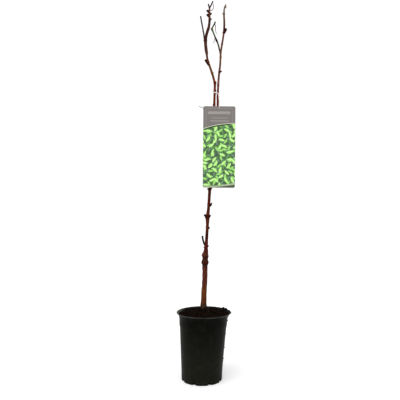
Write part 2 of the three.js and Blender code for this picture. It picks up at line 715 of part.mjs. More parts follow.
/** The strap round both stems: a slanting ring on a plan of two circles and their tangents. */
function tieStrap() {
  const [fromX, fromY] = TIE.from;
  const run = Math.hypot(TIE.to[0] - fromX, TIE.to[1] - fromY);
  const ring = (radius) => {
    const path = new THREE.Shape();
    path.absarc(run, 0, radius, -Math.PI / 2, Math.PI / 2);
    path.absarc(0, 0, radius, Math.PI / 2, Math.PI * 1.5);
    return path;
  };
  const inner = TIE.stem + GAP;
  const shape = ring(inner + TIE.strap);
  shape.holes.push(ring(inner));
  const band = { depth: TIE.width, bevelEnabled: false, curveSegments: 10 };
  const strap = new THREE.ExtrudeGeometry(shape, band);
  strap.rotateZ(Math.atan2(TIE.to[1] - fromY, TIE.to[0] - fromX));
  strap.translate(fromX, fromY, TIE.height - TIE.width / 2);
  const places = strap.attributes.position;
  const middle = (fromX + TIE.to[0]) / 2;
  for (let i = 0; i < places.count; i++) {
    places.setZ(i, places.getZ(i) + TIE.slope * (places.getX(i) - middle));
  }
  return solid(strap);
}

function makeTie() {
  const [holeX, holeZ] = CARD.hole;
  const front = CARD.back - CARD.thickness - GAP - TIE.cord;
  const behind = CARD.back + GAP + TIE.cord;
  const through = holeZ + CARD.holeRadius - GAP - TIE.cord;
  const bend = (behind - front) / 2;
  const underCard = [0, 45, 90, 135, 180].map((degrees) => {
    const angle = THREE.MathUtils.degToRad(degrees);
    return [holeX, front + bend * (1 - Math.cos(angle)), through + bend * (1 - Math.sin(angle))];
  });
  const cord = lineThrough([
    [46.4, 0.0, 781], [46.8, -1.6, 777], [47.8, -4.2, 762], [holeX, front, 747], ...underCard,
    [holeX, behind + 0.1, 747], [47.2, -2.8, 762], [45.2, -0.4, 781],
  ]);
  const tail = [[31.8, -1.2, 784.4], [28.6, -4.0, 787.0], [24.0, -4.6, 788.4], [19.8, -3.6, 787.4]];
  const even = () => TIE.cord;
  return fuse([
    tieStrap(),
    rod(cord, even, { sides: 6, steps: 33, ringAt: (share) => lengthShare(cord, share) }),
    rod(lineThrough(tail), even, { sides: 6, steps: 8 }),
  ]);
}

// The assembly

const vine = new THREE.Group();
vine.add(piece("pot", makePot(), FINISH.pot));
vine.add(piece("potting_soil", makeSoil(), FINISH.soil));
vine.add(piece("trunk", makeTrunk(), FINISH.bark));
vine.add(piece("left_bough", makeLeftBough(), FINISH.cane));
vine.add(piece("right_bough", makeRightBough(), FINISH.cane));
vine.add(piece("left_tip_twigs", makeLeftTwigs(), FINISH.twig));
vine.add(piece("right_tip_twigs", makeRightTwigs(), FINISH.twig));
vine.add(piece("side_twig", makeSideTwig(), FINISH.twig));
vine.add(piece("middle_twig", makeMiddleTwig(), FINISH.twig));
vine.add(piece("label_card", makeCard(), FINISH.card));
vine.add(piece("label_tie", makeTie(), FINISH.tie));

export default vine;
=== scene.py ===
"""A young grapevine in winter, bare of leaves, in a tall nursery pot, with its picture card.

Sizes are in millimetres, in the part's own frame, and go into the meshes in metres. Every
surface is a grid of two parameters, worked out as whole arrays. The stems follow the courses and
the seeded rules of the part's solids, and carry them on to bark, buds and finer twigs.
"""
import logging
from dataclasses import dataclass, field
from enum import Enum
from typing import Callable, Sequence

import bpy
import numpy as np
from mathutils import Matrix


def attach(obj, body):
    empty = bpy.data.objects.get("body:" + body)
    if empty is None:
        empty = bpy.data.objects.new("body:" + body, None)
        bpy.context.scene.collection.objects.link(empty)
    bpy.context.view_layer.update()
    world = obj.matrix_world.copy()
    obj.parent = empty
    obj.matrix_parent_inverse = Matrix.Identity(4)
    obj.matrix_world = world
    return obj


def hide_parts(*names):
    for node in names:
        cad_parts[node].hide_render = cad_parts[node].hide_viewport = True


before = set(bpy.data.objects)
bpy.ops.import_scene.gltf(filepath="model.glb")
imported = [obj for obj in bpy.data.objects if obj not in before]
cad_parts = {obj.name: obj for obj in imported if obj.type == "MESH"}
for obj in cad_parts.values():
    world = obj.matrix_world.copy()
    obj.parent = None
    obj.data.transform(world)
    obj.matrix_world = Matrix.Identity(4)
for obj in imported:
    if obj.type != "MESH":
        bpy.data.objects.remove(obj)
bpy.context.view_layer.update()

Array = np.ndarray
Point = tuple[float, float, float]
Course = tuple[Point, ...]
Knot = tuple[float, float, float]
Table = tuple[tuple[float, float], ...]
Curve = Callable[[Array], Array]
Tones = tuple[tuple[float, str], ...]

MM = 0.001
BODY = "root"
CAP_RINGS = 6
# The height of a twig's ribs, and how far a mass of twigs reaches into its limb.
RIB = 0.04
OVERLAP = 0.6
SHARP_EDGE = np.radians(40)
log = logging.getLogger("vine")


# Numbers and noise


def linear(colour: str) -> tuple[float, float, float, float]:
    """Turns an sRGB hex colour into the linear RGBA that shaders take.

    Args:
        colour: Six hex digits after a hash.

    Returns:
        Red, green, blue and an alpha of 1.
    """
    coded = np.array([int(colour[i : i + 2], 16) for i in (1, 3, 5)]) / 255
    light = np.where(coded <= 0.04045, coded / 12.92, ((coded + 0.055) / 1.055) ** 2.4)
    return (*light.tolist(), 1.0)


def hump(distance: Array, width: float) -> Array:
    """A smooth hump: e to the power of minus (distance / width) squared."""
    return np.exp(-((distance / width) ** 2))


def ease(share: Array) -> Array:
    """The smooth step 3t^2 - 2t^3 of a share held between 0 and 1."""
    held = np.clip(share, 0.0, 1.0)
    return held * held * (3.0 - 2.0 * held)


def turn(start: float, end: Array) -> Array:
    """The shortest turn from one angle to others, in radians."""
    return (end - start + np.pi) % (2 * np.pi) - np.pi


def eased(rows: Table, keys: Array) -> Array:
    """Reads values from a table, easing from row to row.

    Args:
        rows: Rising keys, each with its value.
        keys: Where the table is read.

    Returns:
        The values, with the smooth step between neighbouring rows.
    """
    table = np.array(rows)
    after = np.clip(np.searchsorted(table[:, 0], keys), 1, len(table) - 1)
    low, high = table[after - 1], table[after]
    share = ease((keys - low[..., 0]) / (high[..., 0] - low[..., 0]))
    return low[..., 1] + (high[..., 1] - low[..., 1]) * share


def noise(places: Array, cell: float, seed: int) -> Array:
    """Smooth random values from -1 to 1.

    A seeded cube of random values is read at places / cell. Between its corners the eight nearest
    values are blended, each with the product of the smooth step's weights along the three axes.

    Args:
        places: Points, with the coordinates on the last axis.
        cell: Size of a lump, in the units of the places.
        seed: Picks the random values.

    Returns:
        One value for each place.
    """
    side = 32
    table = np.random.default_rng(seed).uniform(-1.0, 1.0, (side, side, side))
    low = np.floor(places / cell).astype(int)
    near = ease(places / cell - low)
    total = np.zeros(places.shape[:-1])
    for corner in np.ndindex(2, 2, 2):
        weight = np.prod(np.where(np.array(corner, bool), near, 1.0 - near), axis=-1)
        x, y, z = np.moveaxis((low + corner) % side, -1, 0)
        total += weight * table[x, y, z]
    return total


def seeded(seed: int) -> Callable[[], float]:
    """A repeatable stream of numbers from 0 to 1, the same as the part's solids were drawn with."""
    word = 0xFFFFFFFF
    state = seed

    def draw() -> float:
        """The next number of the stream."""
        nonlocal state
        state = (state + 0x6D2B79F5) & word
        mixed = ((state ^ (state >> 15)) * (1 | state)) & word
        mixed = ((mixed + ((mixed ^ (mixed >> 7)) * (61 | mixed))) & word) ^ mixed
        return (mixed ^ (mixed >> 14)) / 2**32

    return draw


def whole_turn(count: int) -> Array:
    """A row of even angles round a whole turn."""
    return np.linspace(0.0, 2 * np.pi, count, endpoint=False)[None, :]


def squared(wave: Array, power: float) -> Array:
    """Pushes a wave out towards a square one: its size to a power below 1, with its own sign."""
    return np.sign(wave) * np.abs(wave) ** power


def polar(radius: Array, angle: Array, height: Array, lean: Array = 0.0) -> Array:
    """Places round an upright axis: (lean + radius * cos(angle), radius * sin(angle), height)."""
    across, away = lean + radius * np.cos(angle), radius * np.sin(angle)
    return np.stack(np.broadcast_arrays(across, away, height), axis=-1)


def spun(places: Array, angle: Array) -> Array:
    """Places turned about the third axis: x * cos - y * sin and x * sin + y * cos."""
    x, y, z = np.moveaxis(places, -1, 0)
    cosine, sine = np.cos(angle), np.sin(angle)
    return np.stack([x * cosine - y * sine, x * sine + y * cosine, z], axis=-1)


def leaving(side: float, rise: float) -> Array:
    """The unit direction that leaves a stem on one side, in degrees from +X, with the given rise."""
    direction = polar(1.0, np.radians(side), rise)
    return direction / np.linalg.norm(direction)


def tone_at(tones: Tones, heights: Array) -> Array:
    """Colours at some heights, blended between named tones.

    Args:
        tones: Rising heights, each with an sRGB hex colour.
        heights: Where the colours are wanted.

    Returns:
        Linear RGBA for each height, on a last axis of four.
    """
    keys = [height for height, _ in tones]
    table = np.array([linear(colour) for _, colour in tones])
    return np.stack([np.interp(heights, keys, table[:, channel]) for channel in range(4)], axis=-1)


def smoothed(grid: Array, passes: int) -> Array:
    """Averages a grid of rings with its neighbours, weighted 1, 2, 1 along and round, several times."""
    for _ in range(passes):
        longer = np.concatenate([grid[:1], grid, grid[-1:]])
        grid = grid / 2 + (longer[:-2] + longer[2:]) / 4
        grid = grid / 2 + (np.roll(grid, 1, axis=1) + np.roll(grid, -1, axis=1)) / 4
    return grid


class Wood(str, Enum):
    """Tones of bark, buds, cut ends and tendrils, and the painted shade at the trunk's foot."""

    # Painted shade at the trunk's foot, where it meets the compost.
    SHADED_FOOT = "#20150f"
    DUSTED = "#3a2a20"
    RUST = "#592c14"
    UMBER = "#472015"
    KNOB = "#2f120a"
    CHESTNUT = "#3e1e13"
    OXBLOOD = "#43130c"
    SCORCHED = "#280c03"
    MAHOGANY = "#471b0c"
    REDWOOD = "#421407"
    AUBURN = "#531b0b"
    COPPER = "#591f09"
    EMBER = "#511500"
    AMBER = "#5c260c"
    TAN = "#5c381c"
    COCOA = "#502c1e"
    PLUM = "#452a21"
    NIGHT = "#260d07"
    MAROON = "#381b15"
    WALNUT = "#371e14"
    SOOT = "#160b07"
    BISCUIT = "#604938"
    DRIFTWOOD = "#6b6358"
    BRACKEN = "#4a4231"
    CHARCOAL = "#322b29"
    RUSSET = "#552a1b"
    TERRACOTTA = "#5b372c"
    MOSS = "#514b3d"
    STRAW = "#877a6e"
    ASH = "#3d3938"
    SLOE = "#211316"
    LICHEN = "#4b5840"
    OLIVE = "#4b4621"
    INK = "#1e272c"
    FLINT = "#22241d"
    HEARTH = "#57473a"
    PITH = "#241a14"
    HEATHER = "#6e565e"
    PEWTER = "#645f61"


# Surfaces and meshes


@dataclass
class Surface:
    """A closed surface in millimetres, with values carried by its corners.

    Attributes:
        points: Places of the corners.
        quads: Corners of the four-sided faces, anticlockwise from outside.
        triangles: Corners of the three-sided faces.
        values: Named values of the corners: one, three or four numbers each.
    """

    points: Array
    quads: Array
    triangles: Array
    values: dict[str, Array]

    @classmethod
    def skin(cls, rings: Array, values: dict[str, Array] | None = None, wraps: bool = False) -> "Surface":
        """Skins a grid of rings.

        Rows run along the form and columns anticlockwise round it. Each ring is joined to the
        next. The end rings close on a pole at their middle, or the last ring meets the first.

        Args:
            rings: Places, as rows by columns by three.
            values: Named values, as rows by columns by their count, or what spreads over that.
            wraps: Whether the last ring meets the first.

        Returns:
            The closed surface.
        """
        rows, columns = rings.shape[:2]
        corner = np.arange(rows * columns).reshape(rows, columns)
        beside = np.roll(corner, -1, axis=1)
        quads = np.stack([corner, beside, np.roll(beside, -1, axis=0), np.roll(corner, -1, axis=0)], axis=-1)
        grids = {name: np.atleast_3d(value) for name, value in (values or {}).items()}
        grids = {name: np.broadcast_to(grid, (rows, columns, grid.shape[2])) for name, grid in grids.items()}
        flat = {name: grid.reshape(rows * columns, -1) for name, grid in grids.items()}
        if wraps:
            return cls(rings.reshape(-1, 3), quads.reshape(-1, 4), np.zeros((0, 3), int), flat)
        foot, tip = (np.full(columns, rows * columns + end) for end in (0, 1))
        fans = np.hstack([[foot, beside[0], corner[0]], [tip, corner[-1], beside[-1]]]).T
        poles = rings[[0, -1]].mean(axis=1)
        flat = {name: np.vstack([flat[name], grid[[0, -1]].mean(axis=1)]) for name, grid in grids.items()}
        return cls(np.vstack([rings.reshape(-1, 3), poles]), quads[:-1].reshape(-1, 4), fans, flat)

    @staticmethod
    def joined(surfaces: Sequence["Surface"]) -> "Surface":
        """Puts several surfaces that carry the same values side by side into one."""
        starts = np.cumsum([0] + [len(surface.points) for surface in surfaces[:-1]])
        return Surface(
            np.vstack([surface.points for surface in surfaces]),
            np.vstack([surface.quads + start for surface, start in zip(surfaces, starts)]),
            np.vstack([surface.triangles + start for surface, start in zip(surfaces, starts)]),
            {name: np.vstack([surface.values[name] for surface in surfaces]) for name in surfaces[0].values},
        )

    def mesh(self, name: str) -> bpy.types.Mesh:
        """Puts the surface and its values into a Blender mesh, in metres."""
        made = bpy.data.meshes.new(name)
        corners = np.concatenate([self.quads.ravel(), self.triangles.ravel()])
        after = self.quads.size + np.arange(len(self.triangles)) * 3
        starts = np.concatenate([np.arange(len(self.quads)) * 4, after])
        made.vertices.add(len(self.points))
        made.vertices.foreach_set("co", (self.points * MM).astype(np.float32).ravel())
        made.loops.add(len(corners))
        made.loops.foreach_set("vertex_index", corners.astype(np.int32))
        made.polygons.add(len(starts))
        made.polygons.foreach_set("loop_start", starts.astype(np.int32))
        made.update(calc_edges=True)
        for layer, value in self.values.items():
            write_layer(made, layer, value)
        return made


LAYER_KINDS = {1: ("FLOAT", "value"), 3: ("FLOAT_VECTOR", "vector"), 4: ("FLOAT_COLOR", "color")}


def write_layer(mesh: bpy.types.Mesh, name: str, value: Array) -> None:
    """Writes one named value for each corner of a mesh."""
    kind, key = LAYER_KINDS[value.shape[1]]
    layer = mesh.attributes.get(name) or mesh.attributes.new(name, kind, "POINT")
    layer.data.foreach_set(key, value.astype(np.float32).ravel())


def read_layer(mesh: bpy.types.Mesh, name: str, count: int) -> Array:
    """Reads one named value of each corner of a mesh."""
    value = np.zeros(len(mesh.vertices) * count, np.float32)
    mesh.attributes[name].data.foreach_get(LAYER_KINDS[count][1], value)
    return value.reshape(-1, count)


def mend_layers(mesh: bpy.types.Mesh, counts: dict[str, int]) -> None:
    """Gives corners that a cut has made the mean of their known neighbours' values."""
    known = read_layer(mesh, "known", 1)[:, 0] > 0.5
    ends = np.zeros(len(mesh.edges) * 2, np.int32)
    mesh.edges.foreach_get("vertices", ends)
    ends = ends.reshape(-1, 2)
    pairs = np.vstack([ends, ends[:, ::-1]])
    layers = {name: read_layer(mesh, name, count) for name, count in counts.items()}
    for _ in range(4):
        useful = pairs[known[pairs[:, 1]] & ~known[pairs[:, 0]]]
        shares = np.bincount(useful[:, 0], minlength=len(known))
        reached = shares > 0
        for value in layers.values():
            total = np.zeros_like(value)
            np.add.at(total, useful[:, 0], value[useful[:, 1]])
            value[reached] = total[reached] / shares[reached, None]
        known |= reached
    for name, value in layers.items():
        write_layer(mesh, name, value)


def united(name: str, surfaces: Sequence[Surface], cutters: Sequence[Surface] = ()) -> bpy.types.Mesh:
    """Unites closed surfaces into one skin, then cuts others out of it.

    Args:
        name: The mesh's name.
        surfaces: What is united. The first is the largest.
        cutters: What is cut away.

    Returns:
        One mesh that keeps the surfaces' values.
    """
    counts = {layer: value.shape[1] for layer, value in surfaces[0].values.items()}
    everything = [*surfaces, *cutters]
    for surface in everything:
        surface.values["known"] = np.ones((len(surface.points), 1))
    objects = [bpy.data.objects.new(name, surface.mesh(name)) for surface in everything]
    groups = {"UNION": objects[1 : len(surfaces)], "DIFFERENCE": objects[len(surfaces) :]}
    tools = {operation: bpy.data.collections.new(operation) for operation in groups if groups[operation]}
    for operation, collection in tools.items():
        for member in groups[operation]:
            collection.objects.link(member)
        bpy.context.scene.collection.children.link(collection)
        modifier = objects[0].modifiers.new(operation, "BOOLEAN")
        modifier.operation = operation
        modifier.operand_type = "COLLECTION"
        modifier.collection = collection
        modifier.solver = "MANIFOLD"
    bpy.context.scene.collection.objects.link(objects[0])
    graph = bpy.context.evaluated_depsgraph_get()
    made = bpy.data.meshes.new_from_object(
        objects[0].evaluated_get(graph), preserve_all_data_layers=True, depsgraph=graph
    )
    mend_layers(made, counts)
    made.attributes.remove(made.attributes["known"])
    for collection in tools.values():
        bpy.data.collections.remove(collection)
    for spare in objects:
        bpy.data.meshes.remove(spare.data)
    made.name = name
    return made


def piece(
    name: str, mesh: bpy.types.Mesh, finish: bpy.types.Material, replaced: Sequence[str] = (),
) -> None:
    """Makes a finished piece of a mesh, at the origin, unturned and unscaled.

    It rides on the plant's body and may stand for CAD nodes.

    Args:
        name: The piece's name.
        mesh: Its mesh, in place.
        finish: Its material.
        replaced: CAD nodes that it stands for.
    """
    made = bpy.data.objects.new(name, mesh)
    bpy.context.scene.collection.objects.link(made)
    mesh.materials.clear()
    mesh.materials.append(finish)
    mesh.shade_smooth()
    mesh.set_sharp_from_angle(angle=SHARP_EDGE)
    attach(made, BODY)
    if replaced:
        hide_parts(*replaced)
    log.info("%s: %d corners, %d faces", name, len(mesh.vertices), len(mesh.polygons))


# Lines, and rings carried along them


class End(Enum):
    """How a stem's end is closed: the cap's depth over its radius, and how round its edge is."""

    LEVEL = (0.0, 0.25)
    CUT = (0.16, 0.35)
    ROUND = (0.9, 1.0)
    DRY = (2.4, 1.1)


@dataclass(frozen=True)
class Line:
    """The middle line of a stem, sampled evenly from its foot.

    Attributes:
        points: Places on the line.
        arcs: The length of the line up to each place.
    """

    points: Array
    arcs: Array

    @classmethod
    def through(cls, course: Sequence[Point], spacing: float = 0.25) -> "Line":
        """Threads a centripetal Catmull-Rom spline through a course of points.

        Between two points it is the cubic that leaves and enters them along the tangents of the
        neighbouring points, timed by the square roots of the distances.
        """
        knots = np.array(course, float)
        padded = np.vstack([2 * knots[0] - knots[1], knots, 2 * knots[-1] - knots[-2]])
        times = np.sqrt(np.linalg.norm(np.diff(padded, axis=0), axis=1))[:, None]
        slopes = np.diff(padded, axis=0) / times
        wide = (padded[2:] - padded[:-2]) / (times[1:] + times[:-1])
        tangents = slopes[:-1] - wide + slopes[1:]
        leave, enter = tangents[:-1] * times[1:-1], tangents[1:] * times[1:-1]
        share = np.linspace(0.0, 1.0, 60, endpoint=False)[None, :, None]
        start, end = knots[:-1, None], knots[1:, None]
        leave, enter = leave[:, None], enter[:, None]
        cubic = (
            start + leave * share + (3 * (end - start) - 2 * leave - enter) * share**2
            + (2 * (start - end) + leave + enter) * share**3
        )
        fine = np.vstack([cubic.reshape(-1, 3), knots[-1]])
        run = np.concatenate([[0.0], np.cumsum(np.linalg.norm(np.diff(fine, axis=0), axis=1))])
        arcs = np.linspace(0.0, run[-1], round(run[-1] / spacing) + 2)
        points = np.stack([np.interp(arcs, run, fine[:, axis]) for axis in range(3)], axis=-1)
        return cls(points, arcs)

    @property
    def length(self) -> float:
        """The line's whole length."""
        return float(self.arcs[-1])

    def at(self, arcs: Array | float) -> Array:
        """Places on the line at some lengths from its foot."""
        return np.stack([np.interp(arcs, self.arcs, self.points[:, axis]) for axis in range(3)], axis=-1)

    def arc_at(self, height: float) -> float:
        """The length from the foot at which a rising line reaches a height."""
        return float(np.interp(height, self.points[:, 2], self.arcs))

    def frames(self, arcs: Array) -> tuple[Array, Array, Array]:
        """Directions of the line at some lengths.

        The normal is X where the line rises more than it runs to the right, else Z, made square to
        the tangent, so on a rising stem a turn round the line is counted from +X.

        Returns:
            Tangent, normal and binormal.
        """
        step = 0.5
        tangent = self.at(np.minimum(arcs + step, self.length)) - self.at(np.maximum(arcs - step, 0.0))
        tangent /= np.linalg.norm(tangent, axis=-1, keepdims=True)
        chord = np.abs(self.points[-1] - self.points[0])
        across = np.eye(3)[0 if chord[2] > chord[0] else 2]
        normal = across - tangent * (tangent @ across)[:, None]
        normal /= np.linalg.norm(normal, axis=-1, keepdims=True)
        return tangent, normal, np.cross(tangent, normal)


Radius = Callable[[Array, Array, Array], Array]


def sweep(
    line: Line,
    radius: Radius,
    tones: Tones,
    span: tuple[float, float] | None = None,
    sides: int = 20,
    spacing: float = 0.8,
    ends: tuple[End, End] = (End.ROUND, End.ROUND),
    age: float | Callable[[Array], Array] = 0.0,
) -> Surface:
    """Carries a ring along a line.

    The ring at length s is line(s) + radius(s, side, height) * (cos side * normal + sin side *
    binormal). At each end the cap's rings shrink by cos(t)^k while they move on by
    depth * sin(t)^k, where depth and k are the kind of end. The tone carries painted shade in
    hollows and a painted highlight on ridges: it is multiplied by e to the power of how far the
    wall stands out of its smoothed self.

    Args:
        line: The middle line.
        radius: Gives the wall's distance from the line at a length, a side and a height.
        tones: Bark colours by height, or none for a surface that carries no values.
        span: Lengths between which the ring is carried, or the whole line.
        sides: Corners of a ring.
        spacing: Step from ring to ring.
        ends: How the foot and the tip are closed.
        age: How old the bark is at a height, from 0, a year, to 1.

    Returns:
        A closed surface, which carries its tone, its grain and its age.
    """
    start, last = span or (0.0, line.length)
    run = np.linspace(start, last, max(3, round((last - start) / spacing)) + 1)
    turns = np.linspace(0.0, np.pi / 2, CAP_RINGS + 1)[1:-1]
    arcs = np.concatenate([np.full(len(turns), start), run, np.full(len(turns), last)])
    side = whole_turn(sides)
    place = line.at(arcs)
    tangent, normal, binormal = line.frames(arcs)
    reach = radius(arcs[:, None], side, place[:, 2:3]) * np.ones((len(arcs), sides))
    (foot_depth, foot_round), (tip_depth, tip_round) = (end.value for end in ends)
    even = np.zeros(len(run))
    shrink = np.concatenate([np.cos(turns[::-1]) ** foot_round, even + 1.0, np.cos(turns) ** tip_round])
    onward = np.concatenate([
        -foot_depth * reach[0].mean() * np.sin(turns[::-1]) ** foot_round,
        even,
        tip_depth * reach[-1].mean() * np.sin(turns) ** tip_round,
    ])
    wall = (reach * shrink[:, None])[..., None]
    out = np.cos(side)[..., None] * normal[:, None] + np.sin(side)[..., None] * binormal[:, None]
    rings = place[:, None] + tangent[:, None] * onward[:, None, None] + out * wall
    if not tones:
        return Surface.skin(rings)
    old = age(rings[..., 2]) if callable(age) else age
    # Painted shade in the hollows of the bark and painted highlight on its ridges, stronger on old wood.
    relief_shading = np.clip(reach - smoothed(reach, 14), -0.5, 0.2)
    tone = tone_at(tones, rings[..., 2]) * np.exp((1.0 + 1.8 * old) * relief_shading)[..., None]
    for end, rows in ((ends[0], range(len(turns) - 1)), (ends[1], range(-1, -len(turns), -1))):
        if end is End.CUT:
            tone[list(rows)] = linear(Wood.HEARTH)
            tone[rows[0]] = linear(Wood.PITH)
    grain = polar(wall[..., 0], side, (arcs + onward)[:, None])
    return Surface.skin(rings, {"tone": tone, "grain": grain * MM, "age": old})


def taper(
    line: Line, foot: float, tip: float, knots: Sequence[Knot] = (), ribs: int = 7, twist: float = 0.0,
) -> Radius:
    """The radius of a twig: an even taper, with a swelling at each knot and fine ribs.

    Args:
        line: The twig's middle line.
        foot: Its radius at the foot.
        tip: Its radius at the tip.
        knots: Each swelling's place, height and reach, place and reach in shares of the line.
        ribs: How many ribs it has.
        twist: How fast they wind round it, in radians a millimetre.

    Returns:
        The radius by length, side and height.
    """

    def radius(arc: Array, side: Array, height: Array) -> Array:
        """The taper, its knots and its ribs."""
        share = arc / line.length
        swollen = sum(swell * hump(share - at, reach) for at, swell, reach in knots)
        return foot + (tip - foot) * share + swollen + RIB * np.cos(ribs * side + twist * arc)

    return radius


BUD_AGE = 0.4
BUD_TONES: Tones = ((0.0, Wood.MAHOGANY), (0.45, Wood.NIGHT), (1.0, Wood.COCOA))
DARK_BUD: Tones = ((0.0, Wood.NIGHT), (0.3, Wood.SOOT), (1.0, Wood.SOOT))


def bud(at: Array, direction: Array, length: float, width: float, tones: Tones = BUD_TONES) -> Surface:
    """A pointed winter bud that sits in a stem's side.

    Along its axis the reach is sin(pi * u^0.85)^0.75 * (1 - u / 4), for u from 0 at its sunk foot
    to 1 at its point. Two scales wind round it: a sawtooth of the turn plus 1.6 u adds a tenth.

    Args:
        at: Where it leaves the stem.
        direction: Where it points.
        length: Its length above the stem.
        width: Its largest reach from its axis.
        tones: Its colours from foot to point.

    Returns:
        A closed surface that carries the values of bark.
    """
    share = np.linspace(0.02, 0.985, 15)[:, None]
    side = whole_turn(18)
    scale = (side / (2 * np.pi) + 1.6 * share) % 1.0
    reach = np.sin(np.pi * share**0.85) ** 0.75 * (1.0 - share / 4) * (0.95 + 0.12 * scale) * width
    across = np.cross(direction, [0.31, 0.95, 0.0])
    across /= np.linalg.norm(across)
    third = np.cross(direction, across)
    out = np.cos(side)[..., None] * across + np.sin(side)[..., None] * third
    rings = at + direction * (length * (1.35 * share - 0.35))[..., None] + out * reach[..., None]
    return Surface.skin(rings, {"tone": tone_at(tones, share), "grain": rings * MM, "age": BUD_AGE})


# Materials


def node(tree: bpy.types.NodeTree, kind: str, *inputs: object, **settings: object) -> bpy.types.Node:
    """Adds a shader node with its settings and links.

    Args:
        tree: The material's node tree.
        kind: The node's type, without its ShaderNode.
        inputs: Its open inputs in order, and last, if need be, a dictionary of inputs by name. A
            node gives its first open output, a socket is linked and anything else is set.
        settings: The node's own properties.

    Returns:
        The new node.
    """
    made = tree.nodes.new(f"ShaderNode{kind}")
    for name, value in settings.items():
        setattr(made, name, value)
    named = {}
    if inputs and isinstance(inputs[-1], dict):
        *inputs, named = inputs
    in_order = zip((socket for socket in made.inputs if socket.enabled), inputs)
    for socket, value in [*in_order, *((made.inputs[name], value) for name, value in named.items())]:
        if isinstance(value, bpy.types.Node):
            value = next(output for output in value.outputs if output.enabled)
        if isinstance(value, bpy.types.NodeSocket):
            tree.links.new(value, socket)
        else:
            socket.default_value = value
    return made


# How a value steers another: from and to of what is read, then from and to of what is made of it.
Ramp = tuple[float, float, float, float]


@dataclass(frozen=True)
class Finish:
    """What a surface is made of. Each kind of finish says what reaches the shader."""

    name: str

    def sockets(self, tree: bpy.types.NodeTree) -> dict[str, object]:
        """The shader's inputs by name, with the nodes that lead to them added to the tree."""
        raise NotImplementedError

    def build(self) -> bpy.types.Material:
        """Makes the material, with one Principled shader."""
        material = bpy.data.materials.new(self.name)
        material.use_nodes = True
        tree = material.node_tree
        tree.nodes.clear()
        node(tree, "OutputMaterial", node(tree, "BsdfPrincipled", self.sockets(tree)))
        return material


@dataclass(frozen=True)
class VineBark(Finish):
    """Grapevine bark: stringy, dull and dusty where old, finely ribbed with a faint gloss where young.

    The tone comes from the stem itself. Fibres run along the stem and change its lightness,
    blotches of dust grey the old wood, and dark pores dot it all.
    """

    name: str = "vine_bark"
    fibre: float = 0.55
    fibre_run: float = 9.0
    blotch: float = 4.5
    pore: float = 1.1
    pores: str = "#120a07"
    dust: str = "#5c4a3f"
    relief: float = 0.16
    roughness: tuple[float, float] = (0.5, 0.86)
    gloss: float = 0.03
    fibre_light: Ramp = (0.3, 0.7, 0.55, 1.45)
    blotch_light: Ramp = (0.36, 0.64, 1.45, 0.78)
    blotch_dust: Ramp = (0.5, 0.72, 0, 0.28)
    pore_dots: Ramp = (0.12, 0.24, 0.45, 0)

    def sockets(self, tree: bpy.types.NodeTree) -> dict[str, object]:
        """The tone lightened by fibres and blotches, then greyed by dust and dotted with pores."""
        tone = node(tree, "Attribute", attribute_name="tone").outputs["Color"]
        grain = node(tree, "Attribute", attribute_name="grain").outputs["Vector"]
        age = node(tree, "Attribute", attribute_name="age").outputs["Fac"]
        run = (1 / MM / self.fibre, 1 / MM / self.fibre, 1 / MM / self.fibre_run)
        stretched = node(tree, "VectorMath", grain, run, operation="MULTIPLY")
        fibres = node(tree, "TexNoise", stretched, 1.0, 4.0, 0.6)
        blotches = node(tree, "TexNoise", grain, 1 / MM / self.blotch, 3.0)
        cells = node(tree, "TexVoronoi", grain, 1 / MM / self.pore)
        light = node(tree, "MapRange", fibres, *self.fibre_light)
        shaded = node(tree, "VectorMath", tone, light, operation="MULTIPLY")
        patch = node(tree, "MapRange", blotches, *self.blotch_light)
        patched = node(tree, "VectorMath", shaded, patch, operation="MULTIPLY")
        greyed = node(tree, "MapRange", blotches, *self.blotch_dust)
        share = node(tree, "Math", greyed, age, operation="MULTIPLY")
        dusty = node(tree, "Mix", share, patched, linear(self.dust), data_type="RGBA")
        dots = node(tree, "MapRange", cells, *self.pore_dots)
        return {
            "Base Color": node(tree, "Mix", dots, dusty, linear(self.pores), data_type="RGBA"),
            "Specular IOR Level": self.gloss,
            "Roughness": node(tree, "MapRange", age, 0.0, 1.0, *self.roughness),
            "Normal": node(tree, "Bump", {"Height": fibres, "Distance": self.relief * MM, "Strength": 0.8}),
        }


